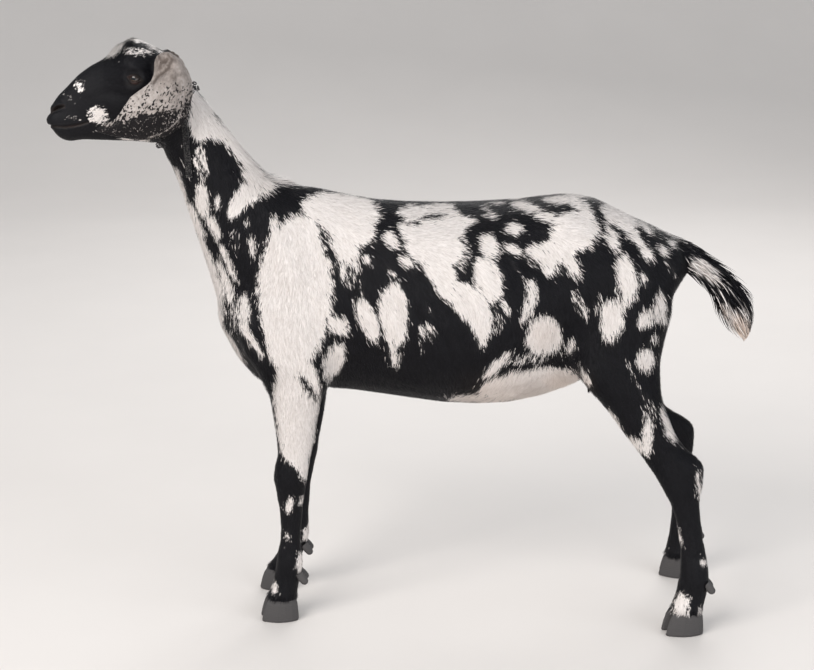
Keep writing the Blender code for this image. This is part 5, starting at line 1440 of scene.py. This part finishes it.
def mapNear(skinObject, places):
    # where on the skin's map the nearest point lies
    mesh = skinObject.data
    uv = np.empty(len(mesh.loops) * 2)
    mesh.uv_layers["OFBake"].data.foreach_get("uv", uv)
    corner = np.empty(len(mesh.loops), np.int64)
    mesh.loops.foreach_get("vertex_index", corner)
    perPoint = np.zeros((len(mesh.vertices), 2))
    perPoint[corner] = uv.reshape(-1, 2)
    tree = treeOf(pointsOf(mesh))
    return perPoint[[tree.find(p)[1] for p in places]]


def strandMesh(name, path, outward, width, colour, mapPlace):
    # tapering locks with three sides, which follow their paths
    count, rows = path.shape[:2]
    along = unit(np.gradient(path, axis=1))
    side = unit(np.cross(along, outward[:, None, :]))
    lift = np.cross(side, along)
    taper = strand["taper"]
    taper = np.interp(np.linspace(0, 1, rows - 1), np.linspace(0, 1, len(taper)), taper)
    half = (width[:, None] * taper / 2)[:, :, None]
    aside, up, body = side[:, :-1] * half, lift[:, :-1] * half, path[:, :-1]
    left = body - aside - up * strand["sink"]
    right = body + aside - up * strand["sink"]
    ridge = body + up * strand["ridge"]
    rings = np.stack([left, right, ridge], axis=2).reshape(count, (rows - 1) * 3, 3)
    points = np.concatenate([rings, path[:, -1:]], axis=1)
    per = points.shape[1]
    faces = [(0, 1, 2)]
    for row in range(rows - 2):
        for k in range(3):
            a, b = row * 3 + k, row * 3 + (k + 1) % 3
            faces += [(a, a + 3, b), (b, a + 3, b + 3)]
    last = (rows - 2) * 3
    faces += [(last + k, per - 1, last + (k + 1) % 3) for k in range(3)]
    faces = np.array(faces)
    allFaces = (faces[None] + np.arange(count)[:, None, None] * per).reshape(-1, 3)
    mesh = meshFromArrays(name, points.reshape(-1, 3), allFaces)
    setHair(mesh, colour[:, np.arange(per) // 3])
    spread = np.array([0.0, 1.0, 0.5])[np.arange(per) % 3]
    patch = np.stack([spread, np.arange(per) // 3 / (rows - 1)], axis=1)
    patch[-1] = (0.5, 1.0)
    setMap(mesh, mapPlace, patch, allFaces)
    return placed(name, mesh)


def meshFromArrays(name, points, faces):
    mesh = bpy.data.meshes.new(name)
    mesh.vertices.add(len(points))
    mesh.vertices.foreach_set("co", points.astype(np.float32).ravel())
    mesh.loops.add(len(faces) * 3)
    mesh.loops.foreach_set("vertex_index", faces.ravel().astype(np.int32))
    mesh.polygons.add(len(faces))
    mesh.polygons.foreach_set("loop_start", np.arange(0, len(faces) * 3, 3, dtype=np.int32))
    mesh.polygons.foreach_set("use_smooth", np.ones(len(faces), bool))
    mesh.update(calc_edges=True)
    return mesh


class Wire:
    # a socket that takes part in Python sums
    def __init__(self, tree, socket):
        self.tree, self.socket = tree, socket

    def sum(self, operation, first, second):
        node = self.tree.nodes.new("ShaderNodeMath")
        node.operation = operation
        for socket, value in zip(node.inputs, (first, second)):
            if isinstance(value, Wire):
                self.tree.links.new(value.socket, socket)
            else:
                socket.default_value = value
        return Wire(self.tree, node.outputs[0])

    def __add__(self, other):
        return self.sum("ADD", self, other)

    def __radd__(self, other):
        return self.sum("ADD", other, self)

    def __sub__(self, other):
        return self.sum("SUBTRACT", self, other)

    def __rsub__(self, other):
        return self.sum("SUBTRACT", other, self)

    def __mul__(self, other):
        return self.sum("MULTIPLY", self, other)

    def __rmul__(self, other):
        return self.sum("MULTIPLY", other, self)

    def __truediv__(self, other):
        return self.sum("DIVIDE", self, other)

    def __pow__(self, other):
        return self.sum("POWER", self, other)


class Finish:
    # one material, made node by node
    def __init__(self, name):
        self.material = bpy.data.materials.new(name)
        self.material.use_nodes = True
        self.tree = self.material.node_tree
        self.tree.nodes.clear()

    def add(self, kind, settings=None, inputs=None, out=0):
        node = self.tree.nodes.new(kind)
        for key, value in (settings or {}).items():
            setattr(node, key, value)
        for key, value in (inputs or {}).items():
            socket = node.inputs[key]
            if isinstance(value, Wire):
                self.tree.links.new(value.socket, socket)
            else:
                socket.default_value = value
        return Wire(self.tree, node.outputs[out]) if node.outputs else None

    def mix(self, share, first, second):
        return self.add("ShaderNodeMix", {"data_type": "RGBA"}, {0: share, 6: first, 7: second}, 2)

    def attribute(self, name, out=0):
        return self.add("ShaderNodeAttribute", {"attribute_name": name}, out=out)

    def parts(self, kind, **value):
        # the three parts of a colour or of a place
        node = self.add(kind, None, value).socket.node
        return [Wire(self.tree, node.outputs[k]) for k in range(3)]

    def noise(self, scale, detail, place, rough=0.5):
        inputs = {"Scale": scale, "Detail": detail, "Roughness": rough, "Vector": place}
        return self.add("ShaderNodeTexNoise", None, inputs)

    def ramp(self, value, low, high):
        return self.add("ShaderNodeMapRange", {"interpolation_type": "SMOOTHSTEP"},
                        {"Value": value, "From Min": low, "From Max": high})

    def place(self):
        return self.add("ShaderNodeTexCoord", out=3)

    def bump(self, height, strength, distance):
        inputs = {"Height": height, "Strength": strength, "Distance": distance}
        return self.add("ShaderNodeBump", None, inputs)

    def surface(self, **sockets):
        inputs = {key.replace("_", " "): value for key, value in sockets.items()}
        shader = self.add("ShaderNodeBsdfPrincipled", None, inputs)
        self.add("ShaderNodeOutputMaterial", None, {"Surface": shader})
        return self.material


coatTones = {
    "coal": (0.0030, 0.0029, 0.0042, 1),
    "coalLight": (0.0092, 0.0088, 0.0120, 1),
    "rust": (0.0200, 0.0120, 0.0080, 1),
    "snow": (0.880, 0.825, 0.795, 1),
    "cream": (0.560, 0.500, 0.462, 1),
    "beige": (0.640, 0.490, 0.395, 1),
    # the ears' grey-brown tone, which also serves as the painted shade in their folds
    "earBrownAndShade": (0.122, 0.099, 0.087, 1),
    "blackRoughness": 0.44,
    "whiteRoughness": 0.62,
    "gloss": 0.14,
    "rustMost": 0.7,
    "creamMost": 0.85,
    "beigeMost": 0.8,
    "fineScale": 900.0,
    "finePart": 0.25,
}
skinTones = {
    "streakScale": 420.0,
    "fineScale": 1400.0,
    "streakPart": 0.8,
    "edge": (0.35, 0.65),
    "bareDark": (0.0055, 0.0045, 0.0045, 1),
    "bareLight": (0.0150, 0.0100, 0.0088, 1),
    "barePink": (0.085, 0.043, 0.036, 1),
    "bareEdge": (0.2, 0.8),
    "roughness": 0.55,
    "bareSmoother": 0.12,
    "grain": 0.1,
    "bump": (0.35, 0.0012),  # strength, distance
    "gloss": 0.20,
}


def coatColours(finish, white, tone, warm):
    dusk = finish.attribute("dusk", 2)
    black = finish.mix(tone * tone, coatTones["coal"], coatTones["coalLight"])
    black = finish.mix(warm * coatTones["rustMost"], black, coatTones["rust"])
    pale = finish.mix(tone * tone * coatTones["creamMost"], coatTones["snow"], coatTones["cream"])
    pale = finish.mix(warm * coatTones["beigeMost"], pale, coatTones["beige"])
    # on the ears the pale hair darkens towards brown by dusk: the ear's own tone, and painted shade in its
    # folds
    pale = finish.mix(dusk, pale, coatTones["earBrownAndShade"])
    return finish.mix(white, black, pale)


def coatFinish():
    finish = Finish("short coat hair")
    white, tone, warm = finish.parts("ShaderNodeSeparateColor", Color=finish.attribute("hair"))
    fine, part = finish.noise(coatTones["fineScale"], 2.0, finish.place()), coatTones["finePart"]
    colour = coatColours(finish, white, tone * (1 - part) + fine * part, warm)
    rougher = coatTones["whiteRoughness"] - coatTones["blackRoughness"]
    rough = coatTones["blackRoughness"] + white * rougher
    return finish.surface(Base_Color=colour, Roughness=rough, Specular_IOR_Level=coatTones["gloss"])


def skinFinish():
    finish = Finish("coat close to the skin")
    white, bare, warm = finish.parts("ShaderNodeSeparateColor", Color=finish.attribute("hair"))
    place = finish.place()
    streaks = finish.noise(skinTones["streakScale"], 4.0, place, 0.6)
    fine = finish.noise(skinTones["fineScale"], 2.0, place)
    part = skinTones["streakPart"]
    edge = finish.ramp(white + (streaks - 0.5) * part, *skinTones["edge"])
    colour = coatColours(finish, edge, streaks * part, warm)
    bareColour = finish.mix(fine, skinTones["bareDark"], skinTones["bareLight"])
    bareColour = finish.mix(warm, bareColour, skinTones["barePink"])
    colour = finish.mix(bare, colour, bareColour)
    rough = skinTones["roughness"] - bare * skinTones["bareSmoother"] + fine * skinTones["grain"]
    bump = finish.bump(streaks * 0.6 + fine * 0.4, *skinTones["bump"])
    return finish.surface(Base_Color=colour, Roughness=rough, Normal=bump,
                          Specular_IOR_Level=skinTones["gloss"])


def markSkin(skinObject, bodyCount):
    mesh = skinObject.data
    points = pointsOf(mesh)
    isEar = np.arange(len(points)) >= bodyCount
    earWhite, earWarm, earDark = earShares(points)
    setDusk(mesh, np.where(isEar, earDark, 0))
    white = np.where(isEar, earWhite, whiteShare(points))
    warm = np.where(isEar, earWarm, warmthAt(points))
    bareHere = smoothStep(*skinTones["bareEdge"], bareShare(points, isEar))
    colour = np.stack([white * (1 - bareHere), bareHere, warm, np.ones(len(points))], axis=1)
    setHair(mesh, colour)


# The eyes
def eyeball(side):
    centre, look, along, up = eyeAxes(side)
    rows, sides = eye["rows"], eye["sides"]
    high, reach = eye["swell"]
    points, places = [], []
    for row in range(rows + 1):
        tilt = math.pi * row / rows * eye["cap"]
        for k in range(sides):
            turn = 2 * math.pi * k / sides
            a, b, c = math.sin(tilt) * math.cos(turn), math.sin(tilt) * math.sin(turn), math.cos(tilt)
            swell = 1 + high * math.exp(-(math.sin(tilt) / reach) ** 4)
            points.append(centre + (along * a + up * b + look * c) * eye["radius"] * eye["fit"] * swell)
            places.append((a, b, c))
    faces = loftFaces(rows + 1, sides)
    last = rows * sides
    faces.append(tuple(range(last, last + sides)))
    faces.append(tuple(range(sides - 1, -1, -1)))
    name = "eyeball_" + ("left" if side < 0 else "right")

    def keepPlaces(bm):
        layer = bm.verts.layers.float_vector.new("place")
        for vert, at in zip(bm.verts, places):
            vert[layer] = at
        bmesh.ops.remove_doubles(bm, verts=bm.verts, dist=1e-7)
        turnOutward(bm)

    mesh = edited(meshFrom(name, points, faces), keepPlaces)
    shadeSmooth(mesh)
    return placed(name, mesh)


eyeTones = {
    "white": (0.030, 0.018, 0.014, 1),
    "ring": (0.006, 0.004, 0.004, 1),
    "irisOuter": (0.014, 0.007, 0.004, 1),
    "irisInner": (0.040, 0.019, 0.009, 1),
    "pupil": (0.002, 0.002, 0.003, 1),
    "irisRadius": 0.66,
    "pupilLong": 0.36,
    "pupilTall": 0.15,
    "pupilEdge": (0.8, 1.15),
    "streaks": 0.3,
    "irisEdge": (0.2, 0.62),
    "ringSoft": 0.05,
    "outerEdge": (0.01, 0.07),
    "wet": {"Specular_IOR_Level": 0.3, "Coat_Weight": 0.45, "Coat_Roughness": 0.03},
}


def eyeFinish():
    finish = Finish("dark wet eye")
    place = finish.attribute("place", 1)
    x, y, _ = finish.parts("ShaderNodeSeparateXYZ", Vector=place)
    radius = (x * x + y * y) ** 0.5
    slot = (x / eyeTones["pupilLong"]) ** 4 + (y / eyeTones["pupilTall"]) ** 2
    streaks = finish.noise(9.0, 5.0, place, 0.7)
    fine = finish.noise(30.0, 3.0, place, 0.6)
    grows = finish.ramp(radius + (streaks - 0.5) * eyeTones["streaks"], *eyeTones["irisEdge"])
    iris = finish.mix(grows, eyeTones["irisInner"], eyeTones["irisOuter"])
    iris = finish.mix(fine * 0.5, iris, eyeTones["ring"])
    edge = eyeTones["irisRadius"]
    colour = finish.mix(finish.ramp(radius, edge - eyeTones["ringSoft"], edge), iris, eyeTones["ring"])
    outer = finish.mix(fine, eyeTones["white"], eyeTones["ring"])
    low, high = (edge + step for step in eyeTones["outerEdge"])
    colour = finish.mix(finish.ramp(radius, low, high), colour, outer)
    colour = finish.mix(1 - finish.ramp(slot, *eyeTones["pupilEdge"]), colour, eyeTones["pupil"])
    return finish.surface(Base_Color=colour, Roughness=0.12 + fine * 0.06, **eyeTones["wet"])


def dressEyes():
    finish = eyeFinish()
    for side, name in ((-1, "eye_left"), (1, "eye_right")):
        ball = eyeball(side)
        ball.data.materials.append(finish)
        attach(ball, "root")
        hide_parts(name)


# Hooves and dewclaws
hoof = {
    "voxel": 0.00100,
    "rings": 0.00026,
    "ringPitch": 0.0031,
    "grain": 0.00018,
    "smoothSteps": 6,
    "ringWander": (0.0006, 0.008),  # height, and the size of a wave
    "grainSize": 0.0009,
    "grainShort": 0.15,  # its size is that much smaller across than down
    "onGround": 0.002,
    "wornEdge": (0.35, 0.7),
    "dustMost": 0.55,
    "dustTop": 0.009,
    "dustWander": 0.01,
    "roughness": (0.42, 0.25),  # least, and with the grain
    "bump": (0.5, 0.0008),
    "gloss": 0.25,
    "wall": (0.011, 0.0105, 0.012, 1),
    "worn": (0.075, 0.066, 0.062, 1),
    "dust": (0.180, 0.155, 0.138, 1),
}


def hornPiece(node):
    mesh = remeshed(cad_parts[node].data.copy(), hoof["voxel"])
    smoothed(mesh, hoof["smoothSteps"])
    points, normals = pointsOf(mesh), normalsOf(mesh)
    side = 1 - np.abs(normals[:, 2])
    wander, size = hoof["ringWander"]
    height = points[:, 2] + wander * latticeNoise(points, size, 31)
    rings = hoof["rings"] * np.sin(height / hoof["ringPitch"] * 2 * math.pi)
    stretched = points * np.array([1, 1, hoof["grainShort"]])
    grain = hoof["grain"] * latticeNoise(stretched, hoof["grainSize"], 32)
    points = points + normals * ((rings + grain) * side)[:, None]
    ground = points[:, 2].min()
    if ground < hoof["onGround"]:
        points[:, 2] = np.maximum(points[:, 2] - ground, 0)
    setPoints(mesh, points)
    shadeSmooth(mesh)
    return placed(node.replace("claw", "horn"), mesh)


def hornFinish():
    finish = Finish("dark horn")
    place = finish.place()
    _, _, height = finish.parts("ShaderNodeSeparateXYZ", Vector=place)
    cloud = finish.noise(160.0, 4.0, place)
    grain = finish.noise(700.0, 3.0, place)
    colour = finish.mix(finish.ramp(cloud, *hoof["wornEdge"]), hoof["wall"], hoof["worn"])
    clean = finish.ramp(height + (cloud - 0.5) * hoof["dustWander"], 0.0, hoof["dustTop"])
    colour = finish.mix((1 - clean) * hoof["dustMost"], colour, hoof["dust"])
    least, more = hoof["roughness"]
    return finish.surface(Base_Color=colour, Roughness=least + grain * more,
                          Normal=finish.bump(grain, *hoof["bump"]), Specular_IOR_Level=hoof["gloss"])


def dressHooves():
    finish = hornFinish()
    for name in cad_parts:
        if name.startswith(("claw_", "dewclaw_")):
            horn = hornPiece(name)
            horn.data.materials.append(finish)
            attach(horn, "root")
            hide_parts(name)


# The collar: a fine chain, its ring at the throat and the spare end behind the ear
chain = {
    "middle": (-0.336, 0.0, 0.747),
    "up": (0.497, 0.0, 0.868),
    "links": 84,
    "wire": 0.00075,
    "halfLength": 0.0034,
    "halfWidth": 0.0024,
    "twist": 40,
    "ringWire": 0.0010,
    "spareRows": 27,
    "spareHalfLength": 0.0027,
    "spareHalfWidth": 0.0014,
    "spareWire": 0.00078,
    "spareSlant": 38,
    "spareShort": 0.74,  # a link's half length beside spareHalfLength
    "spareOut": 1.6,  # how far a row lies from the middle, beside spareHalfWidth
    "spareLean": (0.55, 0.84),
    "spareEnd": 0.002,
    "spareWindow": 0.009,  # how much of the solid is taken together at each height
    "lineSteps": 180,
    "lineWindow": 0.12,
    "worn": (0.40, 0.68),
    "roughness": (0.30, 0.25),
    "steel": (0.018, 0.0175, 0.020, 1),
    "rubbed": (0.130, 0.125, 0.120, 1),
    "raise": 0.0008,  # off the coat
    "stand": 0.0046,  # of the links' middles above the skin
}


def linkPoints(centre, ahead, flat, halfLength, halfWidth, wire, around=18, thick=6):
    # an oval ring of wire, lying in the plane of ahead and flat
    third = ahead.cross(flat)
    points = []
    for k in range(around):
        turn = 2 * math.pi * k / around
        spoke = ahead * math.cos(turn) + flat * math.sin(turn)
        at = centre + ahead * halfLength * math.cos(turn) + flat * halfWidth * math.sin(turn)
        for j in range(thick):
            roll = 2 * math.pi * j / thick
            points.append(at + spoke * wire * math.cos(roll) + third * wire * math.sin(roll))
    faces = loftFaces(around, thick)
    last = (around - 1) * thick
    faces += [(last + j, last + (j + 1) % thick, (j + 1) % thick, j) for j in range(thick)]
    return points, faces


def linksMesh(name, links):
    points, faces = [], []
    for spots, sides in links:
        faces += [tuple(i + len(points) for i in side) for side in sides]
        points += spots
    mesh = edited(meshFrom(name, points, faces), turnOutward)
    shadeSmooth(mesh)
    return placed(name, mesh)


def chainLine():
    # the middle of the chain's solid, all the way round the neck
    middle, up = np.array(chain["middle"]), np.array(Vector(chain["up"]).normalized())
    points = nodePoints("collar_chain") - middle
    ahead = np.cross([0.0, 1.0, 0.0], up)
    angle = np.arctan2(points[:, 1], points @ ahead)
    line = []
    for turn in np.linspace(0, 2 * np.pi, chain["lineSteps"], endpoint=False):
        gap = np.angle(np.exp(1j * (angle - turn)))
        weight = np.exp(-(gap / chain["lineWindow"]) ** 2)
        line.append((points * weight[:, None]).sum(axis=0) / weight.sum() + middle)
    return np.array(line)


def spacedAlong(line, count, closed):
    if closed:
        line = np.vstack([line, line[:1]])
    far = np.concatenate([[0], np.cumsum(np.linalg.norm(np.diff(line, axis=0), axis=1))])
    wanted = np.linspace(0, far[-1], count, endpoint=not closed)
    return [Vector([np.interp(w, far, line[:, k]) for k in range(3)]) for w in wanted]


def skinUnder(skinObject, bodyCount):
    # the body's own surface, without the ears
    mesh = skinObject.data
    faces = [tuple(f.vertices) for f in mesh.polygons if max(f.vertices) < bodyCount]
    return BVHTree.FromPolygons([Vector(p) for p in pointsOf(mesh)], faces)


def neckChain(surface):
    line = []
    for at in chainLine():
        spot, up, _, _ = surface.find_nearest(Vector(at))
        line.append(spot + up * chain["stand"])
    places = spacedAlong(np.array(line), chain["links"], True)
    middle = Vector(chain["middle"])
    links = []
    for k, at in enumerate(places):
        ahead = (places[(k + 1) % len(places)] - places[k - 1]).normalized()
        outward = at - middle
        outward = (outward - ahead * outward.dot(ahead)).normalized()
        turn = math.radians(chain["twist"] if k % 2 else -chain["twist"])
        flat = ahead.cross(outward) * math.cos(turn) + outward * math.sin(turn)
        links.append(linkPoints(at, ahead, flat.normalized(), chain["halfLength"],
                                chain["halfWidth"], chain["wire"]))
    return linksMesh("chain_links", links)


def throatRing():
    low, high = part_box("collar_ring")
    centre = (Vector(low) + Vector(high)) / 2
    radius = (high[0] - low[0]) / 2 - chain["ringWire"]
    ring = linkPoints(centre, Vector((1, 0, 0)), Vector((0, 0, 1)), radius, radius,
                      chain["ringWire"], around=40, thick=10)
    return linksMesh("throat_ring", [ring])


def spareChain():
    points = nodePoints("collar_spare_chain")
    top, bottom = points[:, 2].max(), points[:, 2].min()
    rows, end = [], chain["spareEnd"]
    for height in np.linspace(top - end, bottom + end, chain["spareRows"]):
        weight = np.exp(-((points[:, 2] - height) / chain["spareWindow"]) ** 2)
        rows.append(Vector((points * weight[:, None]).sum(axis=0) / weight.sum()))
    links = []
    slant, (outPart, flatPart) = math.radians(chain["spareSlant"]), chain["spareLean"]
    for k, at in enumerate(rows):
        ahead = (rows[min(k + 1, len(rows) - 1)] - rows[max(k - 1, 0)]).normalized()
        across = Vector((1, 0, 0))
        across = (across - ahead * across.dot(ahead)).normalized()
        out = ahead.cross(across)
        for side in (-1, 1):
            way = across * side * math.cos(slant) + ahead * math.sin(slant)
            flat = (out * outPart + way.cross(out) * flatPart).normalized()
            spot = at + across * side * chain["spareHalfWidth"] * chain["spareOut"]
            spot = spot + Vector((0, -chain["raise"], 0))
            links.append(linkPoints(spot, way, flat, chain["spareHalfLength"] * chain["spareShort"],
                                    chain["spareHalfWidth"], chain["spareWire"], around=14))
    return linksMesh("spare_chain_links", links)


def chainFinish():
    finish = Finish("blackened steel")
    wear = finish.noise(420.0, 4.0, finish.place())
    colour = finish.mix(finish.ramp(wear, *chain["worn"]), chain["steel"], chain["rubbed"])
    least, more = chain["roughness"]
    return finish.surface(Base_Color=colour, Roughness=least + wear * more, Metallic=0.85)


def dressCollar(surface):
    finish = chainFinish()
    for piece, node in ((neckChain(surface), "collar_chain"), (throatRing(), "collar_ring"),
                        (spareChain(), "collar_spare_chain")):
        piece.data.materials.append(finish)
        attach(piece, "root")
        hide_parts(node)


# Stage
studio = {
    "floor": (0.74, 0.70, 0.67, 1),
    "world": (0.80, 0.84, 0.88, 1),
    "worldStrength": 0.62,
    # the floor runs up behind the doe: along Y, up Z, and how wide it is
    "sweep": {"front": -7.0, "back": 3.0, "radius": 2.5, "top": 6.0, "half": 9, "steps": 24,
              "firstTurn": 0.08, "under": 0.0002},
    "cloudDarker": 0.93,
    "key": {"at": (-2.0, -2.5, 2.6), "aim": (-0.12, 0.0, 0.42), "size": 2.2, "power": 112.0,
            "colour": (1.0, 0.97, 0.94)},
    "fill": {"at": (2.6, -2.0, 1.5), "aim": (0.0, 0.0, 0.40), "size": 2.6, "power": 36.0,
             "colour": (0.93, 0.96, 1.0)},
    "low": {"at": (0.2, -2.5, 0.30), "aim": (0.0, 0.0, 0.44), "size": 1.8, "power": 17.0,
            "colour": (1.0, 0.97, 0.95)},
    "rim": {"at": (0.6, 2.4, 2.4), "aim": (0.0, 0.0, 0.50), "size": 2.2, "power": 48.0,
            "colour": (1.0, 1.0, 1.0)},
}


def softLight(name, spec):
    data = bpy.data.lights.new(name, "AREA")
    data.energy, data.size, data.color = spec["power"], spec["size"], spec["colour"]
    lamp = bpy.data.objects.new(name, data)
    bpy.context.scene.collection.objects.link(lamp)
    lamp.location = spec["at"]
    way = Vector(spec["aim"]) - Vector(spec["at"])
    lamp.rotation_euler = way.to_track_quat("-Z", "Y").to_euler()


def floorAndLight():
    sweep = studio["sweep"]
    back, radius = sweep["back"], sweep["radius"]
    turns = np.linspace(sweep["firstTurn"], math.pi / 2, sweep["steps"])
    profile = [(sweep["front"], 0.0), (back, 0.0)]
    profile += [(back + radius * math.sin(t), radius - radius * math.cos(t)) for t in turns]
    profile += [(back + radius, sweep["top"])]
    across = np.linspace(-sweep["half"], sweep["half"], 4)
    points = [(x, y, z - sweep["under"]) for y, z in profile for x in across]
    mesh = meshFrom("floor", points, loftFaces(len(profile), 4, closed=False))
    shadeSmooth(mesh)
    floor = placed("floor", mesh)
    finish = Finish("pale studio floor")
    cloud = finish.noise(3.0, 4.0, finish.place())
    darker = tuple(c * studio["cloudDarker"] for c in studio["floor"][:3]) + (1,)
    colour = finish.mix(cloud, studio["floor"], darker)
    floor.data.materials.append(finish.surface(Base_Color=colour, Roughness=0.8))
    world = bpy.data.worlds.new("soft studio")
    bpy.context.scene.world = world
    world.use_nodes = True
    background = world.node_tree.nodes["Background"]
    background.inputs["Color"].default_value = studio["world"]
    background.inputs["Strength"].default_value = studio["worldStrength"]
    for name in ("key", "fill", "low", "rim"):
        softLight(name + " light", studio[name])
    bpy.context.scene.view_settings.view_transform = "Standard"


def makeCamera():
    data = bpy.data.cameras.new("photo camera")
    data.sensor_width = camera["sensor"]
    data.lens = camera["focalPixels"] / camera["frameWide"] * camera["sensor"]
    made = bpy.data.objects.new("photo camera", data)
    bpy.context.scene.collection.objects.link(made)
    made.location = (0, -camera["distance"], camera["height"])
    made.rotation_euler = (math.radians(90 - camera["tiltDegrees"]), 0, 0)
    bpy.context.scene.camera = made


def dressSkin():
    skinObject, bodyCount = buildSkin()
    unwrap(skinObject)
    print("skin unwrapped")
    markSkin(skinObject, bodyCount)
    skinObject.data.materials.append(skinFinish())
    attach(skinObject, "root")
    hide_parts(*skin["flesh"], *skin["ears"], "tail")
    finish = coatFinish()
    for piece in growCoat(skinObject, bodyCount) + [tailCoat(skinObject)]:
        piece.data.materials.append(finish)
        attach(piece, "root")
        print(piece.name, len(piece.data.polygons), "triangles")
    return skinUnder(skinObject, bodyCount)


makeCamera()
floorAndLight()
surface = dressSkin()
dressEyes()
dressHooves()
dressCollar(surface)
